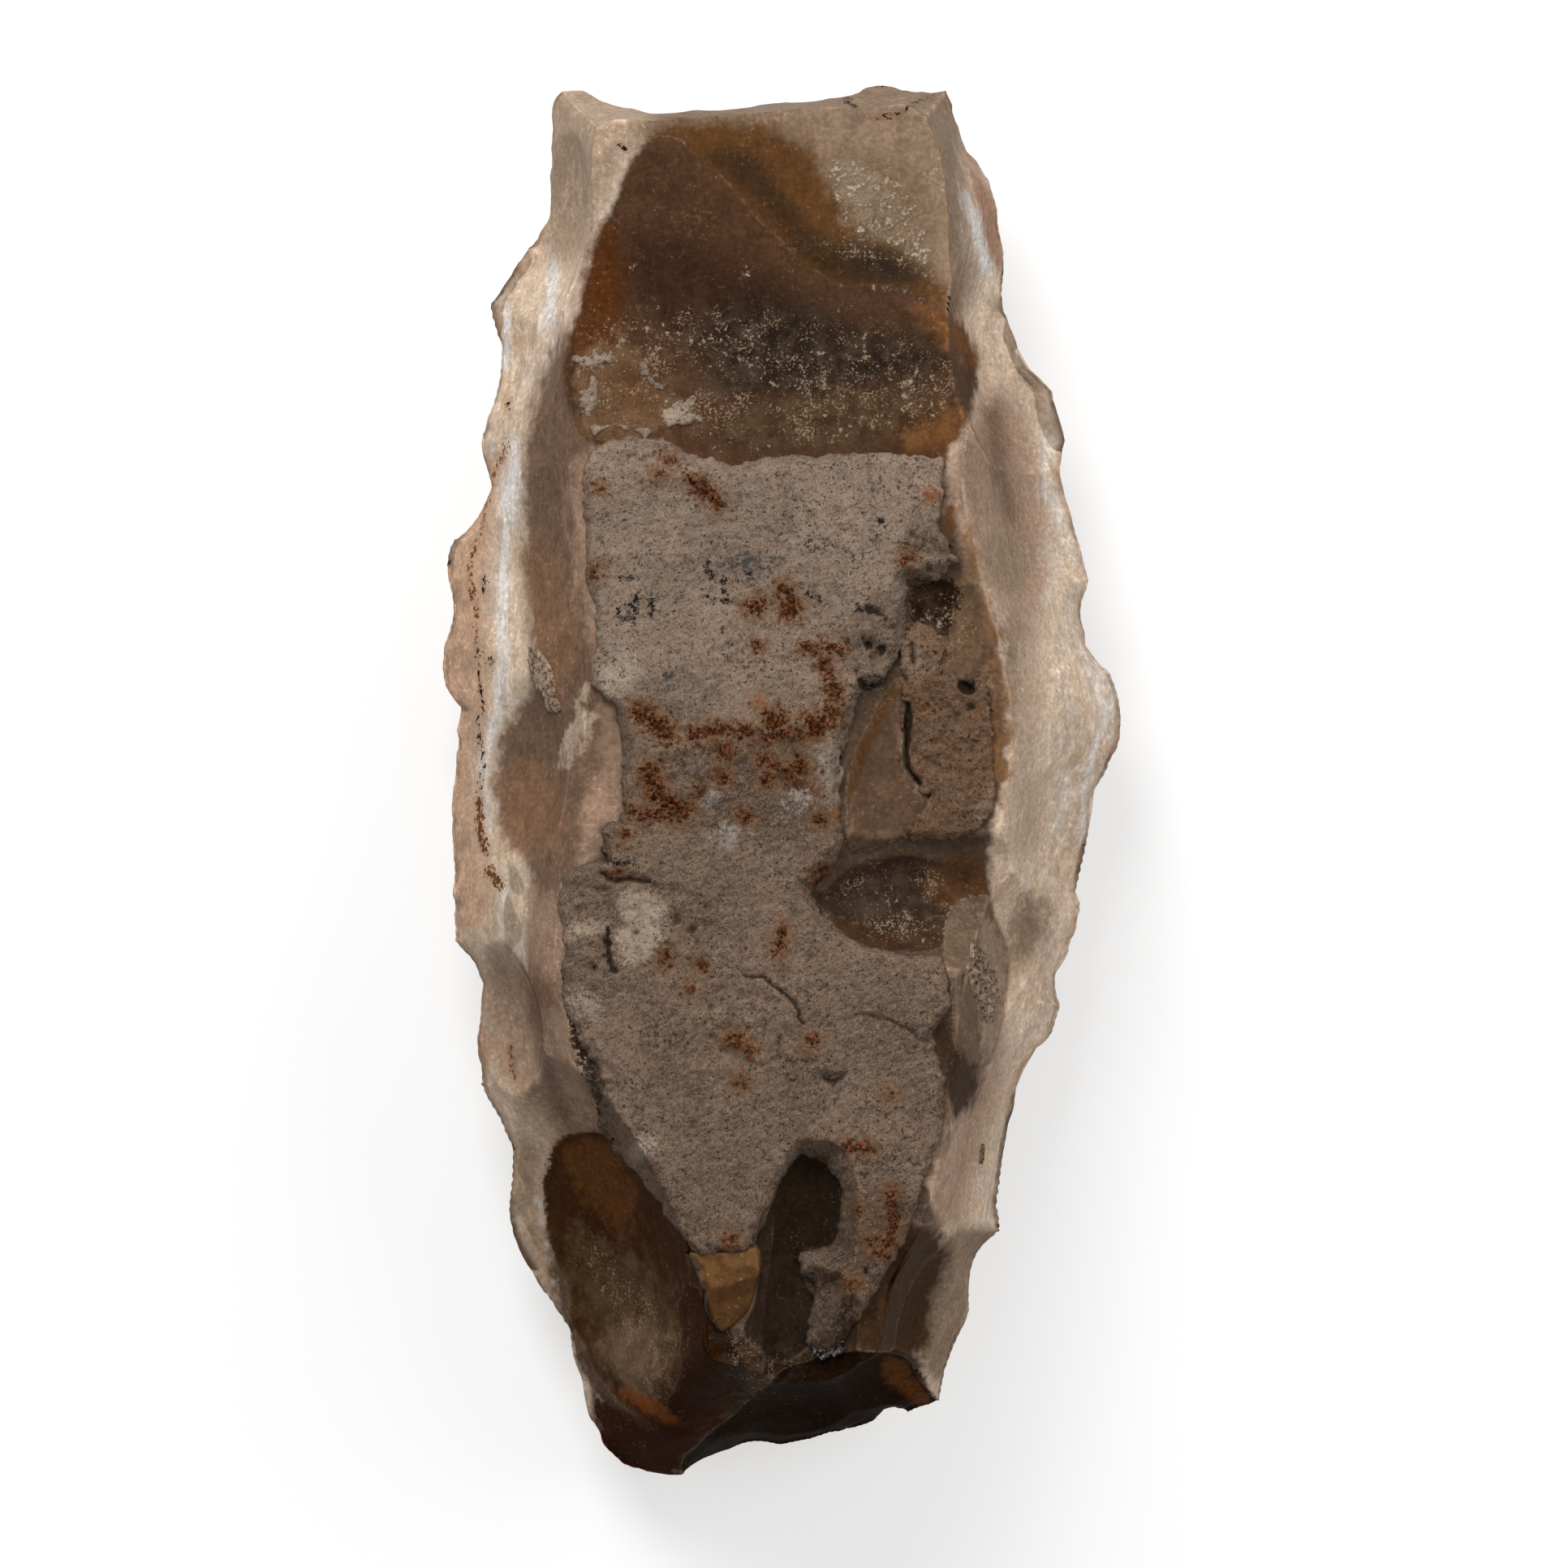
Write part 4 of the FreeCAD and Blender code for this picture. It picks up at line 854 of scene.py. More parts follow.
# Broken ground in the rind, its cracks with width and depth, and its pits
rind_rough = [
    [(694, 1235), (722, 1240), (765, 1330), (800, 1420), (850, 1510), (835, 1530), (770, 1450), (735, 1390),
     (730, 1330)],
    [(700, 1075), (745, 1065), (830, 1085), (890, 1120), (890, 1190), (840, 1200), (770, 1210), (700, 1200),
     (688, 1110)],
    [(1040, 790), (1115, 720), (1112, 800), (1060, 850), (1040, 990), (1025, 930)],
    [(732, 1366), (770, 1372), (806, 1400), (806, 1425), (770, 1440), (740, 1395)],
    [(865, 1210), (960, 1215), (985, 1255), (955, 1310), (880, 1310), (860, 1260)],
    [(1110, 660), (1192, 668), (1192, 712), (1118, 717)],
    [(860, 920), (1035, 905), (1040, 1000), (900, 1020), (790, 1010), (780, 940)],
    [(990, 1315), (1040, 1318), (1035, 1345), (1000, 1345)],
    [(1100, 1470), (1125, 1480), (1085, 1560), (1040, 1640), (1020, 1640)],
]
rind_cracks = [
    ([(915, 1200), (940, 1207), (957, 1217), (975, 1232), (984, 1246), (990, 1262)], 4.5, 0.8),
    ([(957, 1277), (957, 1303), (936, 1316)], 5, 0.5),
    ([(1057, 1251), (1096, 1256), (1120, 1268), (1140, 1284)], 4.5, 0.6),
    ([(1075, 1248), (1105, 1260), (1130, 1280)], 2.5, 0.4), ([(966, 1186), (964, 1208)], 4, 0.5),
    ([(748, 1148), (750, 1175), (757, 1195)], 6, 0.9), ([(742, 1075), (760, 1085), (800, 1084)], 5, 0.8),
    ([(1015, 1330), (1028, 1338), (1040, 1322)], 5, 0.6), ([(1070, 748), (1088, 758)], 7, 0.8),
    ([(1066, 785), (1074, 796)], 6, 0.7), ([(1122, 657), (1130, 664)], 6, 0.6),
    ([(1062, 840), (1075, 852)], 8, 1.0), ([(870, 1236), (880, 1262), (900, 1280)], 4, 0.4),
]
rind_pits = [
    (745, 1180, 5, 0.8), (757, 1196, 6, 1.0), (783, 1173, 3, 0.6), (822, 1165, 6, 0.5), (850, 1148, 8, 0.6),
    (836, 1132, 6, 0.5), (1070, 752, 6, 0.9), (1092, 764, 5, 0.7), (868, 1262, 5, 0.5),
    (1036, 1330, 4, 0.5), (1160, 706, 4, 0.6), (1140, 672, 4, 0.5), (1045, 790, 5, 0.8),
    (1085, 800, 6, 0.9), (860, 1120, 5, 0.5),
]


# The pocket, the ledge, the flake and the crystals
pocket_rim = [
    (1112, 768), (1130, 764), (1150, 778), (1164, 800), (1160, 828), (1184, 838), (1207, 828), (1217, 850),
    (1223, 900), (1227, 950), (1222, 1000), (1200, 1030), (1160, 1036), (1114, 1032), (1130, 1010),
    (1148, 980), (1122, 966), (1108, 935), (1112, 905), (1114, 850), (1108, 825),
]
pocket_holes = [(1192, 846, 10)]
pocket_clefts = [
    ([(1116, 868), (1120, 895), (1112, 925), (1118, 950), (1130, 966)], 9, 2.0),
    ([(1114, 880), (1116, 888)], 8, 1.5), ([(1195, 834), (1203, 830)], 6, 1.5),
    ([(1122, 795), (1126, 815)], 5, 0.8),
]
pocket_rust = [(1140, 870, 4), (1163, 690, 3)]
pocket_pale = [
    [(1112, 768), (1148, 780), (1150, 830), (1120, 845), (1108, 825)],
    [(1200, 985), (1226, 960), (1222, 1000), (1205, 1020)],
]
pocket_haze = [
    [(1150, 840), (1185, 838), (1190, 860), (1160, 868)],
    [(1150, 1000), (1200, 1005), (1190, 1030), (1150, 1030)],
]
ledge_rim = [
    (706, 440), (722, 428), (747, 420), (775, 420), (795, 443), (812, 472), (850, 487), (868, 517),
    (840, 528), (814, 525), (796, 536), (770, 536), (752, 538), (728, 536), (712, 530), (708, 490),
]
ledge_opening = [
    (745, 448), (775, 442), (796, 462), (816, 488), (824, 502), (800, 520), (760, 522), (742, 505),
    (735, 475),
]
ledge_rust = [(742, 505, 5), (775, 470, 4)]
ledge_pale = [
    [(722, 490), (735, 500), (748, 530), (735, 536)], [(800, 505), (850, 495), (860, 515), (815, 522)],
    [(712, 440), (745, 425), (760, 432), (725, 448)],
]
chip_rim = [
    (847, 1545), (861, 1543), (920, 1541), (922, 1535), (937, 1539), (933, 1588), (922, 1617), (894, 1643),
    (882, 1637), (871, 1621), (865, 1584), (855, 1562),
]
chip_creases = [("lower", (862, 1592), (936, 1570), 0.22), ("left", (856, 1558), (892, 1652), 0.28)]
druse_rim = [
    (1000, 1660), (1004, 1645), (1020, 1642), (1040, 1650), (1042, 1664), (1020, 1672), (1005, 1670),
]


# The finished upper face, for what lies on it

def ramp_between(value, low, high):
    """Eases from 0 at low to 1 at high: t squared times (3 - 2 t)."""
    t = np.clip((value - low) / (high - low), 0, 1)
    return t * t * (3 - 2 * t)


def shoulder_softness(x, y):
    """How widely the shoulder is rounded: most along the left side, less along the right, hardly at the
    ends."""
    left = ramp_between(-x, 18, 34) * (1 - ramp_between(np.abs(y), 96, 110))
    return 1.2 + 6.0 * left + 2.0 * ramp_between(x, 22, 34)


def shoulder_plane(x, y):
    """The shoulder plane near its rim, rounded off towards the slopes."""
    inside = inside_by(np.column_stack([x, y]), shoulder_rows[:, :2])
    return soft_min(shoulder_z + 2.2 * inside, shoulder_z, shoulder_softness(x, y))


def fine_relief(points):
    """Unevenness of a struck surface: broad swells of a quarter of a millimetre and a fine grain."""
    return 0.25 * rough_noise(points, 14.0, 3, 5) + 0.05 * rough_noise(points, 3.0, 2, 31)


# Crusts that lie on the plateau

def ground_level(x, y):
    """Height of the flint's finished upper face: what the scars leave of the shoulder plane, and the fine
    relief."""
    flat = struck_above(x, y, shoulder_plane(x, y))
    return flat + fine_relief(np.column_stack([x, y, flat]))


def row_reaches(outline, rows):
    """The lowest and highest x of an outline near each row, widened by a margin."""
    following = np.roll(outline, -1, axis=0)
    share = np.linspace(0, 1, 60)[:, None, None]
    dense = (outline[None] * (1 - share) + following[None] * share).reshape(-1, 2)
    near = np.abs(dense[None, :, 1] - rows[:, None]) < crust_window
    low = np.where(near, dense[None, :, 0], np.inf).min(axis=1) - crust_margin
    high = np.where(near, dense[None, :, 0], -np.inf).max(axis=1) + crust_margin
    return low, high


def crust_sheet(outline_px, height, columns, rows, skirt, shape):
    """A closed crust inside an outline drawn in photograph pixels: a grid of x over y, whose x runs from
    the lowest to the highest reach of the outline at each y. Its heights and attributes come from a
    function of the points and their reach inside the outline. Its border drops to the skirt height, where
    strips from side to side close it."""
    outline = lies_at(outline_px, height)
    y = np.linspace(outline[:, 1].min() - crust_margin, outline[:, 1].max() + crust_margin, rows)
    inner = np.clip(y, outline[:, 1].min(), outline[:, 1].max())
    low, high = row_reaches(outline, inner)
    drift = crust_drift * np.abs(y[:, None] - y[None])
    low, high = (low + drift).min(axis=1), (high - drift).max(axis=1)
    u = np.linspace(0, 1, columns)
    x = low[:, None] * (1 - u) + high[:, None] * u
    flat = np.column_stack([x.ravel(), np.repeat(y, columns), np.full(columns * rows, height)])
    z, values = shape(flat, seen_at(flat))
    grid = np.column_stack([flat[:, :2], z])
    index = np.arange(columns * rows).reshape(rows, columns)
    border = np.zeros((rows, columns), bool)
    border[[0, -1]] = True
    border[:, [0, -1]] = True
    grid[border.ravel(), 2] = np.minimum(skirt, z[border.ravel()] - 4)
    ends = np.array([grid[index[0, columns // 2]] + (0, -0.3, -0.1),
                     grid[index[-1, columns // 2]] + (0, 0.3, -0.1)])
    vertices = np.concatenate([grid, ends])
    quads = [grid_quads(index.T)]
    left, right = index[:, 0], index[:, -1]
    quads.append(np.stack([left[:-1], left[1:], right[1:], right[:-1]], axis=1))
    first, last = index[0], index[-1]
    foot, head = len(grid), len(grid) + 1
    fans = [np.stack([first[1:], first[:-1], np.full(columns - 1, foot)], axis=1),
            np.stack([last[:-1], last[1:], np.full(columns - 1, head)], axis=1),
            np.array([[first[0], first[-1], foot], [last[-1], last[0], head]])]
    for label in values:
        values[label] = np.append(values[label], [values[label][0]] * 2)
    faces = np.concatenate(quads).tolist() + np.concatenate(fans).tolist()
    return vertices, faces, values


def nick_bites(arc, distance, perimeter):
    """Small flakes struck off along the edge: each bites depth times (1 - (arc / half)^2 - (distance /
    reach)^2)."""
    chance = np.random.RandomState(11)
    bites = np.zeros(len(arc))
    for count, halves, reaches, depths in edge_flakes:
        for _ in range(count):
            at = chance.uniform(0, perimeter)
            half, reach, depth = chance.uniform(*halves), chance.uniform(*reaches), chance.uniform(*depths)
            along = np.abs((arc - at + perimeter / 2) % perimeter - perimeter / 2)
            bites = np.maximum(bites, depth * (1 - (along / half) ** 2 - (distance / reach) ** 2))
    return bites


def flint_surface():
    """The whole knapped stone as vertices, faces and marks. Above the edge, rails run up the slope to the
    shoulder, and a patch fills the shoulder ring; below it, rails at every second column run down and in,
    and a patch closes them."""
    columns = len(column_row)
    edge = edge_ring()
    shoulder = eased_ring(along_rows(shoulder_rows))
    resting = along_rows(resting_rows)[::2]
    rise = np.linspace(0, 1, slope_steps + 1)[:, None, None]
    soft_edge = eased_ring(edge)
    slope = soft_edge[None] * (1 - rise) + shoulder[None] * rise
    slope = slope + (edge - soft_edge)[None] * (1 - rise) ** 8
    x, y, z = slope[:, :, 0], slope[:, :, 1], slope[:, :, 2]
    slope[:, :, 2] = struck_above(x, y, soft_min(z, shoulder_z, shoulder_softness(x, y)))
    plateau = patch_between(shoulder, side_steps, end_steps)[1:-1, 1:-1].reshape(-1, 3)
    x, y = plateau[:, 0], plateau[:, 1]
    plateau[:, 2] = struck_above(x, y, shoulder_plane(x, y))
    fall = np.linspace(0, 1, under_steps + 1)[1:, None, None]
    under = edge[None, ::2] * (1 - fall) + resting[None] * fall
    under[:, :, 2] = struck_below(under[:, :, 0], under[:, :, 1], under[:, :, 2])
    base = patch_between(resting, side_steps // 2, end_steps // 2)[1:-1, 1:-1].reshape(-1, 3)
    base[:, 2] = struck_below(base[:, 0], base[:, 1], base[:, 2])

    parts = [slope.reshape(-1, 3), plateau, under.reshape(-1, 3), base]
    starts = np.cumsum([0] + [len(part) for part in parts])
    vertices = np.concatenate(parts)
    slope_index = np.arange(starts[1]).reshape(slope_steps + 1, columns)
    closed = np.concatenate([slope_index, slope_index[:, :1]], axis=1)
    quads = [grid_quads(closed[:, ::-1].T)]
    quads.append(grid_quads(patch_index(slope_index[-1], starts[1], side_steps, end_steps)))
    under_index = starts[2] + np.arange(under_steps * (columns // 2)).reshape(under_steps, columns // 2)
    closed_under = np.concatenate([under_index, under_index[:, :1]], axis=1)
    quads.append(grid_quads(closed_under.T))
    base_index = patch_index(under_index[-1], starts[3], side_steps // 2, end_steps // 2)
    quads.append(grid_quads(base_index)[:, ::-1])
    first = slope_index[0]
    near, middle, far = first[::2], first[1::2], np.roll(first, -2)[::2]
    low, low_next = under_index[0], np.roll(under_index[0], -1)
    seam = np.concatenate([
        np.stack([near, middle, low], axis=1), np.stack([middle, low_next, low], axis=1),
        np.stack([middle, far, low_next], axis=1),
    ])
    quads = np.concatenate(quads)
    triangles = np.concatenate([as_triangles(quads), seam])

    steps = np.linalg.norm(np.roll(edge, -1, axis=0) - edge, axis=1)
    arc = np.concatenate([[0], np.cumsum(steps)])
    bites = np.zeros(len(vertices))
    above, below = slice(0, starts[1]), slice(starts[2], starts[3])
    bites[above] = nick_bites(np.tile(arc[:-1], slope_steps + 1),
                              np.linalg.norm(slope - edge[None], axis=2).ravel(), arc[-1])
    bites[below] = nick_bites(np.tile(arc[:-1:2], under_steps),
                              np.linalg.norm(under - edge[None, ::2], axis=2).ravel(), arc[-1])
    steps_down = np.zeros(len(vertices))
    marks = stain_reaches(vertices, starts[2])
    for name, _, softness, _, _, depth, _ in flint_stains:
        if depth:
            steps_down += depth * ramp_between(marks[name], -0.25, max(softness, 0.5))
    push = fine_relief(vertices) - np.maximum(bites, 0) - steps_down
    vertices = vertices + surface_normals(vertices, triangles) * push[:, None]
    vertices[:, 2] = np.maximum(vertices[:, 2], 0)
    marks["inward"] = inside_by(vertices[:, :2], edge[::3, :2])
    marks["ridge"] = standing_out(vertices, triangles)
    return vertices, quads.tolist() + seam.tolist(), marks


def standing_out(vertices, triangles):
    """How far each vertex stands out of the mean of its neighbours, in millimetres: above zero on a
    ridge."""
    total = np.zeros_like(vertices)
    count = np.zeros(len(vertices))
    for i in range(3):
        here, there = triangles[:, i], triangles[:, (i + 1) % 3]
        for a, b in ((here, there), (there, here)):
            np.add.at(total, a, vertices[b])
            np.add.at(count, a, 1)
    away = vertices - total / np.maximum(count, 1)[:, None]
    return (away * surface_normals(vertices, triangles)).sum(axis=1)


def most_inside(spots, outlines):
    """How far inside the nearest of some outlines each spot lies, in millimetres."""
    return np.max([inside_by(spots, rounded(outline)) for outline in outlines], axis=0) * pixel_mm


def nearest_line(spots, lines):
    """How far inside the nearest of some drawn lines each spot lies, in millimetres."""
    return np.max([along_line(spots, points, width) for points, width in lines], axis=0) * pixel_mm


def stain_reaches(vertices, above_count):
    """How far inside each stain, band, patch or line every vertex lies, in millimetres; below the edge, far
    outside."""
    upper = vertices[:above_count]
    spots = wandered(seen_at(upper), upper, 2.2, 4.5, 61)
    marks = {name: most_inside(spots, outlines) for name, _, _, _, _, _, outlines in flint_stains}
    marks["pink"] = most_inside(spots, pink_patches)
    marks["chips"] = most_inside(spots, cream_chips)
    marks["speckled"] = most_inside(spots, speckled_patches)
    marks["bluish"] = nearest_line(spots, bluish_bands)
    marks["rust"] = nearest_line(spots, rust_lines)
    marks["soot"] = nearest_line(spots, soot_lines)
    marks["dust"] = np.maximum(most_inside(spots, dust_patches), around_spots(spots, dust_spots) * pixel_mm)
    far = np.full(len(vertices) - above_count, far_outside)
    return {name: np.concatenate([reach, far]) for name, reach in marks.items()}


def level_or_wall(inside, top, ground, floor):
    """The top inside the outline; outside it a steep wall, down to a floor hidden in the stone."""
    return np.where(inside > 0, top, np.maximum(np.minimum(floor, ground - 3),
        top + wall_steepness * inside))


def rind_shape(flat, pixels):
    """The rind: level on top, thinner towards its outline, grainy, and broken where the lists say."""
    ground = ground_level(flat[:, 0], flat[:, 1])
    spots = wandered(pixels, flat, 3.4, 3.0, 71)
    spots = wandered(spots, flat, 1.8, 1.0, 77)
    broken = ramp_between(most_inside(spots, rind_rough), -1.0, 1.5)
    inside = inside_by(spots, rind_rim) * pixel_mm
    inside += (0.3 + 0.6 * broken) * rough_noise(flat, 1.7, 3, 75)
    frayed = np.maximum(broken, 0.7 * (1 - ramp_between(inside, 0.3, 2.4)))
    grain = 0.13 * rough_noise(flat, 0.95, 2, 81) + 0.24 * rough_noise(flat, 7.0, 3, 83)
    grain += 0.3 * rough_noise(flat * (0.5, 1.4, 1.0), 4.0, 3, 89)
    rubble = frayed * (0.66 * rough_noise(flat, 2.4, 4, 87) - 0.3)
    cuts = np.zeros(len(flat))
    for line, width, depth in rind_cracks:
        reach = along_line(spots, line, width) * pixel_mm
        cuts = np.maximum(cuts, depth * ramp_between(reach, -0.35, 0.25))
    for x, y, radius, depth in rind_pits:
        reach = around_spots(spots, [(x, y, radius)]) * pixel_mm
        cuts = np.maximum(cuts, depth * ramp_between(reach, -0.3, 0.5))
    scattered = 0.45 * ramp_between(smooth_noise(flat, 1.5, 91), 0.62, 0.85) * (0.35 + broken)
    top = soft_min(np.full(len(flat), rind_top - 0.45), ground + 1.3 + 1.3 * np.maximum(inside, 0), 0.8)
    edge_wear = 0.25 * (1 - ramp_between(inside, 0.0, 0.9))
    top = np.minimum(top + grain + rubble - cuts - scattered - edge_wear, rind_top)
    z = level_or_wall(inside, top, ground, rind_floor)
    values = {
        "inside": inside, "sunk": cuts + scattered + np.maximum(-rubble - 0.5, 0),
        "rust": np.maximum(nearest_line(spots, rind_rust_lines),
                           around_spots(spots, rind_rust_spots) * pixel_mm),
        "orange": around_spots(spots, rind_orange_spots) * pixel_mm,
        "soot": nearest_line(pixels, rind_soot_lines), "haze": most_inside(spots, rind_soot_haze),
        "crystals": around_spots(spots, rind_crystals) * pixel_mm, "pale": most_inside(spots, rind_pale),
        "shade": most_inside(spots, rind_shade),
    }
    return z, values


def nowhere(count, *labels):
    """Marks that cover nothing."""
    return {label: np.full(count, far_outside) for label in labels}


def pocket_shape(flat, pixels):
    """Rough rind in the pocket: lumps and hollows a little above the flint, with one deep pit and a broken
    cleft."""
    ground = ground_level(flat[:, 0], flat[:, 1])
    spots = wandered(pixels, flat, 2.6, 2.4, 101)
    inside = inside_by(spots, pocket_rim) * pixel_mm
    inside += 0.7 * rough_noise(flat, 1.8, 3, 105)
    lumps = 0.75 * rough_noise(flat, 2.6, 4, 103) + 0.16 * rough_noise(flat, 0.9, 2, 107)
    cuts = 2.4 * ramp_between(around_spots(spots, pocket_holes) * pixel_mm, -0.6, 0.8)
    for line, width, depth in pocket_clefts:
        cuts = np.maximum(cuts, depth * ramp_between(along_line(spots, line, width) * pixel_mm, -0.5, 0.5))
    top = ground + 0.9 + lumps + 0.12 * np.minimum(inside, 3) - cuts
    z = level_or_wall(inside, top, ground - cuts, pocket_floor)
    values = nowhere(len(flat), "rust", "orange", "soot", "crystals")
    values["shade"] = np.full(len(flat), 2.0)
    values["rust"] = np.maximum(around_spots(spots, pocket_rust) * pixel_mm, -0.9)
    values["inside"] = inside + 0.7
    values["sunk"] = cuts + np.maximum(-lumps - 0.35, 0) * 1.6
    values["pale"] = most_inside(spots, pocket_pale)
    values["haze"] = most_inside(spots, pocket_haze)
    return z, values


def ledge_shape(flat, pixels):
    """A thin broken crust round an open floor of amber flint, with curved flake steps."""
    ground = ground_level(flat[:, 0], flat[:, 1])
    spots = wandered(pixels, flat, 6.0, 3.0, 111)
    inside = np.minimum(inside_by(spots, ledge_rim), -inside_by(spots, ledge_opening)) * pixel_mm
    inside = np.minimum(inside, 1.0) - 0.75 + 1.7 * rough_noise(flat, 2.2, 4, 115)
    top = ground + 0.2 + 0.35 * np.clip(inside, 0, 1.4) + 0.12 * rough_noise(flat, 0.9, 2, 117)
    z = level_or_wall(inside, top, ground, ledge_floor)
    values = nowhere(len(flat), "orange", "soot", "crystals", "haze", "shade")
    values["rust"] = around_spots(spots, ledge_rust) * pixel_mm - 0.4
    values["inside"] = inside
    values["sunk"] = np.full(len(flat), -1.0)
    values["pale"] = most_inside(spots, ledge_pale)
    return z, values


def chip_shape(flat, pixels):
    """A flake of honey flint: three faces that meet in two creases, the lower and the left one falling
    away."""
    ground = ground_level(flat[:, 0], flat[:, 1])
    spots = wandered(pixels, flat, 1.0, 3.0, 121)
    inside = inside_by(spots, rounded(chip_rim, 1)) * pixel_mm
    top = ground + 1.1 + 0.08 * rough_noise(flat, 2.0, 2, 123)
    facets = {}
    for label, start, end, slant in chip_creases:
        run = np.array(end, float) - start
        facets[label] = ((spots - start) @ np.array([-run[1], run[0]])) / np.hypot(*run) * pixel_mm
        top -= slant * np.clip(facets[label], 0, 3.0)
    top -= 0.3 * (1 - ramp_between(inside, 0.0, 0.5))
    return level_or_wall(inside, top, ground, rind_floor), facets


# Lumps on the slopes, crystals and grains

def stone_level(x, y, stone):
    """Height of the finished stone at each point: its nearest vertices' mean, weighted by 1 / distance
    squared."""
    away = np.maximum(np.abs(stone[:, 0] - x.mean()), np.abs(stone[:, 1] - y.mean()))
    near = stone[(away < lump_window) & (stone[:, 2] > lump_lowest)]
    gap = (x[:, None] - near[None, :, 0]) ** 2 + (y[:, None] - near[None, :, 1]) ** 2
    pick = np.argpartition(gap, lump_neighbours, axis=1)[:, :lump_neighbours]
    weight = 1 / (np.take_along_axis(gap, pick, 1) + 1e-3)
    return (near[pick, 2] * weight).sum(axis=1) / weight.sum(axis=1)


def slope_lump(stone, place, share, half_along, half_up, rise, roughness, seed):
    """A domed lump on the slope: rings round a spot, raised by rise (1 - r squared) + 0.35 and by noise.
    Its last ring is sunk into the stone, and a point below closes it."""
    point, normal = slope_frame(place, share)
    upright = np.array([0.0, 1.0, 0.0])
    along = upright - normal * normal[1]
    along /= np.linalg.norm(along)
    up = np.cross(normal, along)
    r = np.linspace(0.03, 1.0, lump_rings)[:, None]
    turn = np.linspace(0, 2 * np.pi, lump_spokes, endpoint=False)[None]
    circle = np.stack([np.cos(turn[0]), np.sin(turn[0]), np.full(lump_spokes, seed * 1.7)], axis=1)
    outline = 1 + (0.16 + 0.3 * roughness) * rough_noise(circle, 0.8, 3, seed)
    a, b = r * np.cos(turn) * half_along * outline, r * np.sin(turn) * half_up * outline
    spread = point + a[..., None] * along + b[..., None] * up
    x, y = spread[..., 0].ravel(), spread[..., 1].ravel()
    on_stone = np.column_stack([x, y, stone_level(x, y, stone)])
    lift = rise * (1 - r.repeat(lump_spokes, 1).ravel() ** 2) + 0.35
    lift += roughness * rough_noise(on_stone, 1.1, 3, seed + 3)
    lift[-lump_spokes:] = -1.2
    shell = on_stone + normal * lift[:, None]
    index = np.arange(len(shell)).reshape(lump_rings, lump_spokes)
    closed = np.concatenate([index, index[:, :1]], axis=1)
    quads = grid_quads(closed)
    top, foot = len(shell), len(shell) + 1
    caps = np.concatenate([
        np.stack([closed[0, :-1], closed[0, 1:], np.full(lump_spokes, top)], axis=1),
        np.stack([closed[-1, 1:], closed[-1, :-1], np.full(lump_spokes, foot)], axis=1)])
    middle = shell[:lump_spokes].mean(axis=0)
    vertices = np.concatenate([shell, [middle, shell[-lump_spokes:].mean(axis=0) - normal * 0.6]])
    return vertices, quads.tolist() + caps.tolist()


def crystal_tuft(count, seed):
    """Many small six-sided crystals on the ground beside the bladelet scar: leaning prisms with pointed
    tips."""
    chance = np.random.RandomState(seed)
    outline = lies_at(druse_rim, shoulder_z - 4)
    low, high = outline.min(axis=0), outline.max(axis=0)
    spots = chance.uniform(low, high, (count * 3, 2))
    spots = spots[inside_by(spots, outline) > 0][:count]
    count = len(spots)
    turn = np.arange(6) * np.pi / 3
    ring = np.stack([np.cos(turn), np.sin(turn)], axis=1)
    size = chance.uniform(0.16, 0.42, count)[:, None]
    tall = chance.uniform(0.3, 1.0, count)[:, None]
    lean = chance.uniform(-0.55, 0.55, (count, 2))
    ground = ground_level(spots[:, 0], spots[:, 1])[:, None] - 0.3
    heights = [np.zeros((count, 1)), tall + 0.3, tall + 0.3 + size * 1.1]
    parts = []
    for level, height in enumerate(heights):
        points = ring if level < 2 else ring[:1] * 0
        flat = spots[:, None] + points[None] * size[:, :, None] + (lean * height)[:, None]
        level_z = np.broadcast_to((ground + height)[:, None], flat.shape[:2] + (1,))
        parts.append(np.concatenate([flat, level_z], axis=2))
    vertices = np.concatenate(parts, axis=1)
    side = [[i, (i + 1) % 6, 6 + (i + 1) % 6, 6 + i] for i in range(6)]
    tips = [[6 + i, 6 + (i + 1) % 6, 12] for i in range(6)]
    base = [[5, 4, 3, 2, 1, 0]]
    faces = [[start + i for i in face] for start in range(0, count * 13, 13) for face in side + tips + base]
    return vertices.reshape(-1, 3), faces


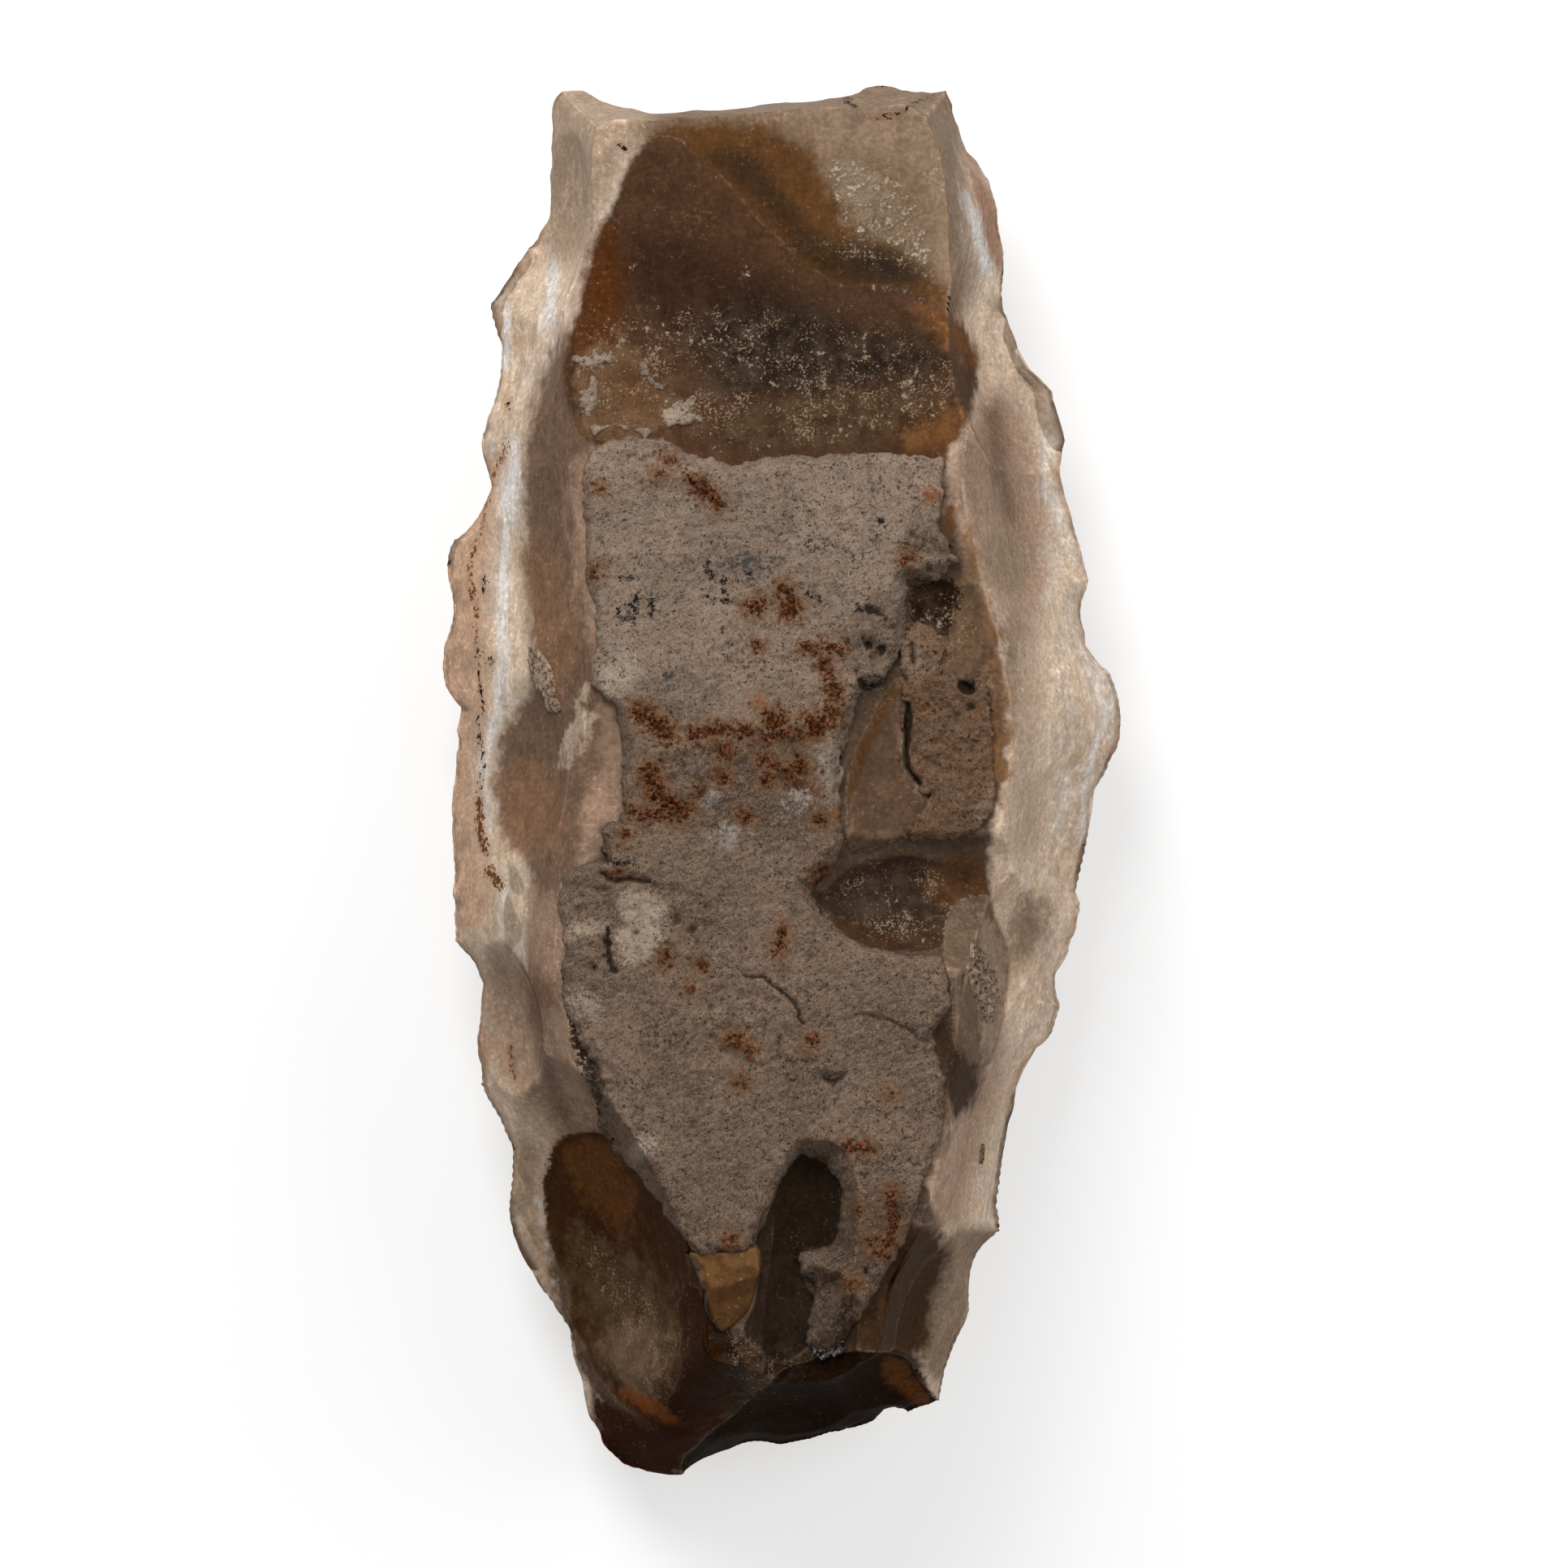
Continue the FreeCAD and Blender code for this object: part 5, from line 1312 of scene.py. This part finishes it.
def rusty_grains(count, seed):
    """Small lumpy grains in the rind where it's rusty: twelve-cornered balls, flattened and uneven."""
    chance = np.random.RandomState(seed)
    middles = list(rind_rust_spots)
    for line, width in rind_rust_lines:
        share = np.linspace(0, 1, 5)[:, None]
        for a, b in zip(np.array(line[:-1], float), np.array(line[1:], float)):
            middles += [(*point, width / 2) for point in a + share * (b - a)]
    middles = np.array(middles)
    chosen = middles[chance.randint(0, len(middles), count)]
    pixels = chosen[:, :2] + chance.normal(0, 0.75, (count, 2)) * chosen[:, 2:]
    spots = lies_at(pixels, rind_top)
    spots = spots[inside_by(pixels, rind_rim) > 6]
    count = len(spots)
    golden = (1 + 5 ** 0.5) / 2
    corners = np.array([(-1, golden, 0), (1, golden, 0), (-1, -golden, 0), (1, -golden, 0), (0, -1, golden),
                        (0, 1, golden), (0, -1, -golden), (0, 1, -golden), (golden, 0, -1), (golden, 0, 1),
                        (-golden, 0, -1), (-golden, 0, 1)]) / np.hypot(1, golden)
    faces = np.array([(0, 11, 5), (0, 5, 1), (0, 1, 7), (0, 7, 10), (0, 10, 11), (1, 5, 9), (5, 11, 4),
                      (11, 10, 2), (10, 7, 6), (7, 1, 8), (3, 9, 4), (3, 4, 2), (3, 2, 6), (3, 6, 8),
                      (3, 8, 9), (4, 9, 5), (2, 4, 11), (6, 2, 10), (8, 6, 7), (9, 8, 1)])
    size = chance.uniform(0.16, 0.5, (count, 1, 1))
    wide = [chance.uniform(0.7, 1.4, count), chance.uniform(0.7, 1.4, count), np.full(count, 0.5)]
    stretch = np.stack(wide, axis=1)[:, None]
    lumps = corners[None] * size * stretch * chance.uniform(0.75, 1.25, (count, 12, 1))
    lumps += np.column_stack([spots, np.full(count, rind_top - 0.1)])[:, None]
    faces = faces[None] + np.arange(count)[:, None, None] * 12
    return lumps.reshape(-1, 3), faces.reshape(-1, 3).tolist()


# Material nodes

def tone(red, green, blue):
    """A colour from 0 to 255 as Blender's linear values: ((c / 255 + 0.055) / 1.055) to the power 2.4."""
    linear = [((c / 255 + 0.055) / 1.055) ** 2.4 if c > 10 else c / 255 / 12.92 for c in (red, green, blue)]
    return (*linear, 1.0)


class Bench:
    """Adds nodes to a tree; a value given for an input may be a number, a colour or another node's
    output."""

    def __init__(self, tree):
        self.tree = tree
        self.nodes = tree.nodes

    def add(self, kind, inputs=None, **settings):
        node = self.nodes.new("ShaderNode" + kind)
        for name, value in settings.items():
            setattr(node, name, value)
        for socket, value in (inputs or {}).items():
            if isinstance(value, bpy.types.NodeSocket):
                self.tree.links.new(value, node.inputs[socket])
            else:
                node.inputs[socket].default_value = value
        return node

    def maths(self, operation, a, b=0.0, c=0.0):
        return self.add("Math", {0: a, 1: b, 2: c}, operation=operation).outputs[0]

    def times(self, a, b):
        return self.maths("MULTIPLY", a, b)

    def times_plus(self, a, b, c):
        return self.maths("MULTIPLY_ADD", a, b, c)

    def plus(self, a, b):
        return self.maths("ADD", a, b)

    def less(self, a, b):
        return self.maths("SUBTRACT", a, b)

    def mix(self, under, over, share):
        return self.add("Mix", {0: share, 6: under, 7: over}, data_type="RGBA").outputs[2]

    def ease(self, value, low, high, start=0.0, end=1.0):
        """Goes smoothly from start to end as the value goes from low to high."""
        given = {0: value, 1: low, 2: high, 3: start, 4: end}
        return self.add("MapRange", given, interpolation_type="SMOOTHSTEP").outputs[0]

    def noise(self, where, scale, detail=4.0, roughness=0.55, distortion=0.0):
        given = {"Vector": where, "Scale": scale, "Detail": detail, "Roughness": roughness,
                 "Distortion": distortion}
        return self.add("TexNoise", given).outputs[0]

    def value_of(self, label):
        return self.add("Attribute", attribute_name=label).outputs["Fac"]

    def scaled(self, vector, scale):
        return self.add("VectorMath", {0: vector, 1: scale}, operation="MULTIPLY").outputs[0]

    def along_slant(self, vector, angle, stretch):
        """Coordinates stretched along a slanting line in the xy plane."""
        given = {"Vector": vector, "Rotation": (0.0, 0.0, angle), "Scale": (stretch, 1.0, 1.0)}
        return self.add("Mapping", given, vector_type="TEXTURE").outputs[0]

    def millimetres(self):
        """Where a point lies on the stone, in millimetres."""
        return self.scaled(self.add("TexCoord").outputs["Object"], (1 / METRES,) * 3)

    def group(self, group, inputs):
        return self.add("Group", inputs, node_tree=group).outputs

    def ramp(self, value, stops):
        node = self.add("ValToRGB", {0: value})
        elements = node.color_ramp.elements
        for place, colour in stops[1:-1]:
            elements.new(place).color = colour
        elements[0].position, elements[0].color = stops[0]
        elements[-1].position, elements[-1].color = stops[-1]
        return node.outputs[0]


def new_group(name, inputs, outputs):
    """An empty node group with named sockets, its bench, and its input and output nodes."""
    group = bpy.data.node_groups.new(name, "ShaderNodeTree")
    for label, kind, value in inputs:
        socket = group.interface.new_socket(label, in_out="INPUT", socket_type="NodeSocket" + kind)
        if value is not None:
            socket.default_value = value
    for label, kind in outputs:
        group.interface.new_socket(label, in_out="OUTPUT", socket_type="NodeSocket" + kind)
    bench = Bench(group)
    given, made = group.nodes.new("NodeGroupInput"), group.nodes.new("NodeGroupOutput")
    return group, bench, given.outputs, made.inputs


def stain_group():
    """One stain over another colour: it shows where its reach, made ragged by noise, is above zero, and may
    have a pale rim along its border, a painted highlight."""
    group, bench, given, out = new_group("stain", [
        ("Under", "Color", None), ("Over", "Color", None), ("Reach", "Float", 0.0),
        ("Softness", "Float", 1.0),
        ("Raggedness", "Float", 1.0), ("Noise", "Float", 0.5), ("Rim", "Float", 0.0)],
        [("Colour", "Color"), ("Mask", "Float")])
    shift = bench.times(bench.less(given["Noise"], 0.5), given["Raggedness"])
    ragged = bench.times_plus(shift, 4.0, given["Reach"])
    half = bench.times(given["Softness"], 0.5)
    mask = bench.ease(ragged, bench.times(half, -1.0), half)
    covered = bench.mix(given["Under"], given["Over"], mask)
    distance = bench.maths("ABSOLUTE", ragged)
    # The pale rim: a painted highlight along the border, where a scar's arris would catch the light
    line = bench.times(bench.ease(distance, 0.05, 0.3, 1.0, 0.0), given["Rim"])
    pale = bench.mix(covered, tone(176, 156, 134), bench.times(line, bench.ease(given["Noise"], 0.42, 0.6)))
    bench.tree.links.new(pale, out["Colour"])
    bench.tree.links.new(mask, out["Mask"])
    return group


def specks_group():
    """Scattered uneven specks: where a fine noise, helped by broad clouds, rises above a limit."""
    group, bench, given, out = new_group("specks", [
        ("Where", "Vector", None), ("Scale", "Float", 1.0), ("Limit", "Float", 0.68),
        ("Clouds", "Float", 0.3)],
        [("Mask", "Float")])
    grains = bench.noise(given["Where"], given["Scale"], 5.0, 0.68)
    clouds = bench.noise(given["Where"], bench.times(given["Scale"], 0.09), 6.0, 0.68)
    level = bench.times_plus(bench.less(clouds, 0.5), given["Clouds"], grains)
    mask = bench.ease(bench.less(level, given["Limit"]), 0.0, 0.06)
    bench.tree.links.new(mask, out["Mask"])
    return group


def earth_group():
    """Earth that clings in a thin uneven film: it covers where its reach and three kinds of noise add up to
    enough."""
    group, bench, given, out = new_group("earth", [
        ("Under", "Color", None), ("Where", "Vector", None), ("Reach", "Float", -5.0),
        ("Share", "Float", 0.5)],
        [("Colour", "Color"), ("Mask", "Float")])
    crumbs = bench.noise(given["Where"], 1.5, 9.0, 0.75)
    clouds = bench.noise(given["Where"], 0.42, 7.0, 0.7)
    streaks = bench.noise(bench.along_slant(given["Where"], 0.7, 2.6), 0.9, 7.0, 0.65, 0.8)
    grown = bench.ease(given["Reach"], -2.4, 2.0)
    level = bench.times_plus(clouds, 0.4, bench.times(crumbs, 0.25))
    level = bench.times_plus(streaks, 0.35, level)
    needed = bench.less(0.74, bench.times(grown, given["Share"]))
    mask = bench.times(bench.ease(bench.less(level, needed), -0.02, 0.05), 0.78)
    earth = bench.ramp(crumbs, [(0.42, tone(116, 97, 80)), (0.5, tone(150, 131, 112)),
        (0.6, tone(190, 172, 150))])
    bench.tree.links.new(bench.mix(given["Under"], earth, mask), out["Colour"])
    bench.tree.links.new(mask, out["Mask"])
    return group


def grit_group():
    """The grain of a gritty rind: pale and dark grains of two sizes over the colour, and their height."""
    group, bench, given, out = new_group("grit", [
        ("Under", "Color", None), ("Where", "Vector", None), ("Contrast", "Float", 1.0)],
        [("Colour", "Color"), ("Height", "Float")])
    wisps = bench.noise(bench.along_slant(given["Where"], 0.5, 2.0), 1.2, 8.0, 0.8)
    grain = bench.noise(given["Where"], 2.6, 6.0, 0.85)
    lumps = bench.noise(given["Where"], 0.75, 5.0, 0.65)
    mixed = bench.times_plus(wisps, 0.4, bench.times(grain, 0.6))
    light = bench.mix(given["Under"], tone(196, 176, 156),
                      bench.times(bench.ease(mixed, 0.48, 0.58), bench.times(given["Contrast"], 0.34)))
    dark = bench.mix(light, tone(60, 48, 39),
                     bench.times(bench.ease(mixed, 0.41, 0.5, 1.0, 0.0),
                         bench.times(given["Contrast"], 0.62)))
    pits = bench.ease(bench.noise(given["Where"], 1.5, 4.0, 0.7), 0.36, 0.4, 1.0, 0.0)
    dark = bench.mix(dark, tone(40, 32, 26), bench.times(pits, bench.times(given["Contrast"], 0.9)))
    height = bench.plus(bench.times(mixed, 0.8), bench.times(lumps, 0.5))
    height = bench.less(height, bench.times(pits, 0.12))
    bench.tree.links.new(dark, out["Colour"])
    bench.tree.links.new(height, out["Height"])
    return group


def specks(bench, groups, where, scale, limit, clouds):
    """The mask of the specks group: how fine they are, what the noise has to reach, and how they crowd in
    clouds."""
    given = {"Where": where, "Scale": scale, "Limit": limit, "Clouds": clouds}
    return bench.group(groups["specks"], given)["Mask"]


def new_material(name, roughness, shine):
    """A material with a Principled shader, and a bench to wire it on."""
    material = bpy.data.materials.new(name)
    material.use_nodes = True
    bench = Bench(material.node_tree)
    shader = material.node_tree.nodes["Principled BSDF"]
    shader.inputs["Roughness"].default_value = roughness
    shader.inputs["Specular IOR Level"].default_value = shine
    return material, bench, shader


def join(bench, output, socket):
    """Wires an output to an input."""
    bench.tree.links.new(output, socket)


def coat(bench, shader, colour, height, strength=1.0):
    """Gives a shader its colour, and its bump from a height in millimetres."""
    join(bench, colour, shader.inputs["Base Color"])
    bump = bench.add("Bump", {"Height": height, "Strength": strength, "Distance": METRES})
    join(bench, bump.outputs[0], shader.inputs["Normal"])


def flint_material(groups):
    """Banded cream patina, then every stain of the list in its order, a few painted shadows and light among
    them, then specks, a painted highlight on ridges and painted shade in creases, rust, soot and earth.
    """
    material, bench, shader = new_material("knapped_flint", 0.36, 0.012)
    where = bench.millimetres()
    inward = bench.value_of("inward")
    parts = bench.add("SeparateXYZ", {0: where}).outputs
    broad = bench.noise(where, 0.085, 4.0, 0.55)
    middling = bench.noise(where, 0.32, 6.0, 0.6)
    fine = bench.noise(where, 1.1, 9.0, 0.68)
    slanted = {0: bench.times_plus(broad, 2.2, bench.times(inward, 0.17)),
               1: bench.times(parts[1], 0.034), 2: bench.times(parts[2], 0.05)}
    along = bench.add("CombineXYZ", slanted).outputs[0]
    band = bench.noise(along, 1.0, 4.0, 0.5, 0.2)
    streak = bench.noise(bench.scaled(where, (1.1, 0.16, 0.6)), 1.0, 7.0, 0.65, 0.4)
    patina = bench.ramp(band, [(0.3, tone(218, 202, 188)), (0.42, tone(202, 180, 158)),
        (0.5, tone(212, 186, 160)),
                               (0.58, tone(204, 182, 162)), (0.7, tone(186, 160, 136))])
    patina = bench.mix(patina, tone(184, 148, 112), bench.ease(broad, 0.52, 0.7, 0.0, 0.5))
    cool = bench.times(bench.ease(streak, 0.52, 0.66, 0.0, 0.55), bench.ease(broad, 0.36, 0.52, 1.0, 0.0))
    patina = bench.mix(patina, tone(216, 212, 208), cool)
    patina = bench.mix(patina, tone(222, 210, 198), bench.times(bench.ease(middling, 0.54, 0.7), 0.4))
    rim = bench.ease(bench.times_plus(fine, -1.6, inward), -0.5, 1.0, 1.0, 0.0)
    colour = bench.mix(patina, tone(150, 112, 84), bench.times(rim, bench.ease(broad, 0.4, 0.6, 0.1, 0.7)))

    def stain(over, label, softness, ragged, noise, rim=0.0):
        made = bench.group(groups["stain"], {
            "Under": colour, "Over": over, "Reach": bench.value_of(label), "Softness": softness,
            "Raggedness": ragged, "Noise": noise, "Rim": rim})
        return made["Colour"], made["Mask"]

    colour, _ = stain(tone(158, 122, 100), "pink", 3.0, 1.5, middling)
    colour, _ = stain(tone(222, 216, 210), "bluish", 2.6, 1.0, streak)
    for name, (red, green, blue), softness, ragged, rim, _, _ in flint_stains:
        colour, _ = stain(tone(red, green, blue), name, softness, ragged,
            fine if softness < 1.5 else middling, rim)
    colour, _ = stain(tone(168, 148, 126), "chips", 0.5, 0.25, fine, 0.4)

    shade = bench.ease(bench.plus(bench.times(middling, 0.7), bench.times(streak, 0.3)),
                       0.36, 0.64, 0.82, 1.18)
    shade = bench.times(shade, bench.ease(fine, 0.36, 0.68, 0.84, 1.24))
    colour = bench.add("VectorMath", {0: colour, 3: shade}, operation="SCALE").outputs[0]
    brighter = {0: colour, 1: (1.45, 1.45, 1.45), 2: (0.04, 0.03, 0.02)}
    lighter = bench.add("VectorMath", brighter, operation="MULTIPLY_ADD").outputs[0]
    sparse = specks(bench, groups, where, 1.2, 0.6, 0.4)
    colour = bench.mix(colour, lighter, bench.times(sparse, 0.8))
    speckled = bench.ease(bench.value_of("speckled"), -4.0, 4.0)
    film = bench.times(speckled, bench.ease(middling, 0.42, 0.66, 0.0, 0.22))
    colour = bench.mix(colour, tone(104, 86, 68), film)
    crowd = specks(bench, groups, where, 2.3, bench.times_plus(speckled, -0.12, 0.7), 0.7)
    colour = bench.mix(colour, tone(150, 128, 106), bench.times(crowd, 0.7))
    crumbs = specks(bench, groups, where, 0.9, bench.times_plus(speckled, -0.11, 0.74), 0.5)
    colour = bench.mix(colour, tone(162, 140, 118), bench.times(crumbs, 0.7))
    ridge = bench.value_of("ridge")
    # Painted highlight along ridges, where a vertex stands out of its neighbours
    ridge_highlight = bench.times(bench.ease(ridge, 0.03, 0.16), bench.ease(middling, 0.4, 0.62, 0.1, 0.9))
    colour = bench.mix(colour, lighter, ridge_highlight)
    # Painted shade in the creases, where a vertex lies below its neighbours
    colour = bench.mix(colour, tone(52, 38, 28),
        bench.times(bench.ease(ridge, -0.14, -0.03, 1.0, 0.0), 0.35))
    rusty = bench.ease(bench.times_plus(bench.less(fine, 0.52), 7.0, bench.value_of("rust")), -0.1, 0.4)
    colour = bench.mix(colour, tone(112, 62, 30), rusty)
    sooty = bench.ease(bench.times_plus(bench.less(fine, 0.54), 6.0, bench.value_of("soot")), -0.1, 0.2)
    colour = bench.mix(colour, tone(40, 26, 20), sooty)
    dusted = bench.group(groups["earth"], {
        "Under": colour, "Where": where, "Reach": bench.value_of("dust"), "Share": 0.24})
    polish = bench.ease(middling, 0.35, 0.65, 0.3, 0.46)
    duller = bench.add("Mix", {0: dusted["Mask"], 2: polish, 3: 0.92}, data_type="FLOAT")
    join(bench, duller.outputs[0], shader.inputs["Roughness"])
    height = bench.plus(bench.times(dusted["Mask"], 0.12), bench.times(fine, 0.1))
    height = bench.plus(height, bench.times(streak, 0.05))
    height = bench.less(height, bench.times(sooty, 0.25))
    coat(bench, shader, dusted["Colour"], height)
    return material


def rind_material(groups):
    """Gritty beige rind with rust, soot, white crystals and pale chalky ground where its attributes say,
    and painted shade along its edges and in its sunk cracks and pits.
    """
    material, bench, shader = new_material("gritty_rind", 0.9, 0.05)
    where = bench.millimetres()
    parts = bench.add("SeparateXYZ", {0: where}).outputs
    broad = bench.noise(where, 0.07, 5.0, 0.6)
    middling = bench.noise(where, 0.4, 6.0, 0.65)
    fine = bench.noise(where, 1.7, 8.0, 0.72)
    upper = bench.mix(tone(136, 116, 100), tone(156, 134, 116), bench.ease(broad, 0.4, 0.62))
    lower = bench.mix(tone(114, 93, 77), tone(132, 109, 91), bench.ease(broad, 0.4, 0.62))
    down = bench.ease(bench.times_plus(middling, 40.0, parts[1]), 0.0, 65.0, 1.0, 0.0)
    colour = bench.mix(upper, lower, down)
    colour = bench.mix(colour, tone(92, 75, 61), bench.ease(middling, 0.52, 0.68, 0.0, 0.6))

    def mark(over, label, sharpness, softness, noise=fine, limit=0.0):
        made = bench.times_plus(bench.less(noise, 0.5), sharpness, bench.value_of(label))
        return bench.mix(colour, over, bench.ease(made, limit - softness, limit + softness))

    colour = mark(tone(176, 156, 136), "pale", 10.0, 1.6)
    colour = bench.mix(colour, tone(72, 54, 40), bench.ease(bench.value_of("shade"), -1.5, 2.0, 0.0, 0.5))
    gritty = bench.group(groups["grit"], {"Under": colour, "Where": where, "Contrast": 1.0})
    colour = gritty["Colour"]
    clots = bench.noise(where, 1.2, 8.0, 0.78)
    grains = bench.noise(where, 2.8, 4.0, 0.6)
    colour = mark(tone(78, 76, 72), "haze", 22.0, 1.0, clots, 1.3)
    colour = mark(tone(122, 88, 60), "rust", 13.0, 1.8, clots, -0.9)
    rust = bench.ramp(fine, [(0.42, tone(26, 15, 9)), (0.5, tone(70, 36, 15)), (0.57, tone(100, 52, 20)),
        (0.66, tone(140, 76, 32))])
    colour = mark(rust, "rust", 15.0, 0.5, clots, 0.35)
    colour = mark(tone(150, 88, 44), "orange", 8.0, 1.6, clots)
    colour = mark(tone(34, 33, 32), "soot", 9.0, 0.3, clots)
    colour = mark(tone(158, 148, 138), "crystals", 18.0, 0.8, clots, 1.1)
    # Painted shade: darker towards the rind's outline and down its walls, a painted contact shadow along
    # its edge
    wall = bench.ease(bench.times_plus(fine, 0.8, bench.value_of("inside")), 0.1, 0.7, 1.0, 0.0)
    colour = bench.mix(colour, tone(64, 50, 38), bench.times(wall, 0.75))
    # Painted shade in the cracks, pits and hollows sunk into the crust
    sunk = bench.ease(bench.value_of("sunk"), 0.15, 0.9)
    colour = bench.mix(colour, tone(40, 31, 23), bench.times(sunk, 0.85))
    spots = specks(bench, groups, where, 1.2, 0.6, 0.5)
    colour = bench.mix(colour, tone(48, 37, 30), bench.times(spots, 0.7))
    coat(bench, shader, colour, bench.less(gritty["Height"], bench.times(spots, 0.12)), 0.75)
    return material


def honey_material(groups):
    """Honey-coloured flint: warm brown with a paler middle and painted shade on the two faces that fall
    away past its creases, fine cloudiness and a soft polish.
    """
    material, bench, shader = new_material("honey_flint", 0.34, 0.1)
    where = bench.millimetres()
    clouds = bench.noise(where, 0.35, 6.0, 0.6)
    fine = bench.noise(where, 1.6, 7.0, 0.65)
    # Painted shade on the faces that fall away: darker past the lower crease, darker still past the left
    # one
    colour = bench.mix(tone(110, 77, 44), tone(82, 53, 28), bench.ease(bench.value_of("lower"), -0.3, 0.5))
    colour = bench.mix(colour, tone(43, 26, 12), bench.ease(bench.value_of("left"), -0.3, 0.5))
    colour = bench.mix(colour, tone(56, 35, 18), bench.ease(clouds, 0.45, 0.65, 0.0, 0.6))
    colour = bench.mix(colour, tone(116, 84, 50), bench.ease(fine, 0.55, 0.75, 0.0, 0.5))
    spots = specks(bench, groups, where, 1.2, 0.61, 0.3)
    colour = bench.mix(colour, tone(160, 132, 98), bench.times(spots, 0.45))
    coat(bench, shader, colour, bench.times(fine, 0.08))
    return material


def chalk_material(groups):
    """Crumbly chalk: pale and tan crumbs with dark gaps."""
    material, bench, shader = new_material("crumbly_chalk", 0.92, 0.2)
    where = bench.millimetres()
    crumbs = bench.noise(where, 0.9, 8.0, 0.75)
    colour = bench.ramp(crumbs, [(0.37, tone(54, 39, 29)), (0.44, tone(126, 100, 78)),
        (0.51, tone(184, 157, 131)),
                                 (0.6, tone(216, 194, 168))])
    gritty = bench.group(groups["grit"], {"Under": colour, "Where": where, "Contrast": 0.6})
    coat(bench, shader, gritty["Colour"], gritty["Height"])
    return material


def quartz_material():
    """Small clear to milky crystals: pale grey with a strong gloss."""
    material, bench, shader = new_material("quartz_crystals", 0.2, 0.5)
    where = bench.millimetres()
    colour = bench.mix(tone(66, 59, 54), tone(134, 128, 122),
        bench.ease(bench.noise(where, 0.9, 3.0), 0.4, 0.62))
    join(bench, colour, shader.inputs["Base Color"])
    return material


def limonite_material():
    """Rusty grains from near black through brown to orange."""
    material, bench, shader = new_material("rusty_limonite", 0.7, 0.3)
    where = bench.millimetres()
    colour = bench.ramp(bench.noise(where, 0.8, 6.0, 0.7), [
        (0.36, tone(44, 24, 14)), (0.5, tone(96, 50, 24)), (0.66, tone(148, 82, 36))])
    coat(bench, shader, colour, bench.times(bench.noise(where, 2.4, 6.0, 0.7), 0.3))
    return material


def place_camera():
    """A long lens straight above the stone, framed as the photograph is."""
    camera = bpy.data.cameras.new("camera")
    camera.sensor_width = sensor_mm
    camera.lens = sensor_mm * camera_height / (photo_pixels * pixel_mm)
    camera.clip_end = 20
    holder = bpy.data.objects.new("camera", camera)
    holder.location = (aim_x * METRES, aim_y * METRES, (camera_height + edge_height) * METRES)
    bpy.context.scene.collection.objects.link(holder)
    bpy.context.scene.camera = holder


def place_lamp(name, place, size, power):
    """A square soft lamp at a place, turned towards the stone."""
    light = bpy.data.lights.new(name, "AREA")
    light.size = size
    light.energy = power
    holder = bpy.data.objects.new(name, light)
    holder.location = place
    holder.rotation_euler = (lamp_aim - Vector(place)).to_track_quat("-Z", "Y").to_euler()
    bpy.context.scene.collection.objects.link(holder)


def place_floor():
    """A pale floor that keeps the shadow and shows white to the camera."""
    size = 3.0
    mesh = bpy.data.meshes.new("floor")
    corners = [(-size, -size, 0), (size, -size, 0), (size, size, 0), (-size, size, 0)]
    mesh.from_pydata(corners, [], [(0, 1, 2, 3)])
    floor = bpy.data.objects.new("floor", mesh)
    bpy.context.scene.collection.objects.link(floor)
    material, bench, shader = new_material("pale_floor", 0.95, 0.0)
    shader.inputs["Base Color"].default_value = (floor_grey, floor_grey, floor_grey, 1)
    seen = bench.add("LightPath").outputs["Is Camera Ray"]
    shader.inputs["Emission Strength"].default_value = 1.0
    white = bench.mix((0, 0, 0, 1), (floor_glow, floor_glow, floor_glow, 1), seen)
    join(bench, white, shader.inputs["Emission Color"])
    mesh.materials.append(material)


def light_world():
    """White light from all round."""
    world = bpy.data.worlds.new("soft_room")
    world.use_nodes = True
    world.node_tree.nodes["Background"].inputs["Color"].default_value = (1, 1, 1, 1)
    world.node_tree.nodes["Background"].inputs["Strength"].default_value = room_strength
    bpy.context.scene.world = world


def place_piece(name, slot, node, finish, vertices, faces, marks=None):
    """Makes a piece that rides on the one body, stands for its node and takes the finish given. The slot is
    not used.
    """
    piece = make_piece(name, vertices, faces, finish, marks)
    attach(piece, "root")
    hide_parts(node)


groups = {"stain": stain_group(), "specks": specks_group(), "earth": earth_group(), "grit": grit_group()}
rind_finish = rind_material(groups)
honey_finish = honey_material(groups)
chalk_finish = chalk_material(groups)

stone, stone_faces, stone_marks = flint_surface()
place_piece("knapped_flint", "flint", "flint_body", flint_material(groups), stone, stone_faces, stone_marks)
# Each crust: name, slot, node, finish, outline, height it lies at, columns, rows, hidden floor, shape
crusts = [
    ("gritty_rind", "rind", "upper_rind", rind_finish, rind_rim, rind_top, 200, 455, rind_floor,
     rind_shape),
    ("pocket_crust", "rind", "pocket_rind", rind_finish, pocket_rim, shoulder_z, 90, 190, pocket_floor,
     pocket_shape),
    ("ledge_crust", "rind", "ledge_rind", rind_finish, ledge_rim, shoulder_z, 80, 80, ledge_floor,
     ledge_shape),
    ("honey_flake", "honey_flint", "honey_chip", honey_finish, chip_rim, shoulder_z, 60, 70, rind_floor,
     chip_shape),
]
for name, slot, node, finish, *form in crusts:
    place_piece(name, slot, node, finish, *crust_sheet(*form))
for seed, (name, node, *form) in enumerate(chalk_lumps, 1):
    place_piece(name, "chalk", node, chalk_finish, *slope_lump(stone, *form, seed))
place_piece("crystal_lining", "quartz", "quartz_druse", quartz_material(), *crystal_tuft(crystal_count, 21))
place_piece("rust_grains", "limonite", "limonite_stains", limonite_material(),
    *rusty_grains(grain_count, 23))

place_floor()
place_camera()
for name, lamp in lamps.items():
    place_lamp(name, *lamp)
light_world()
bpy.context.scene.view_settings.view_transform = "Standard"
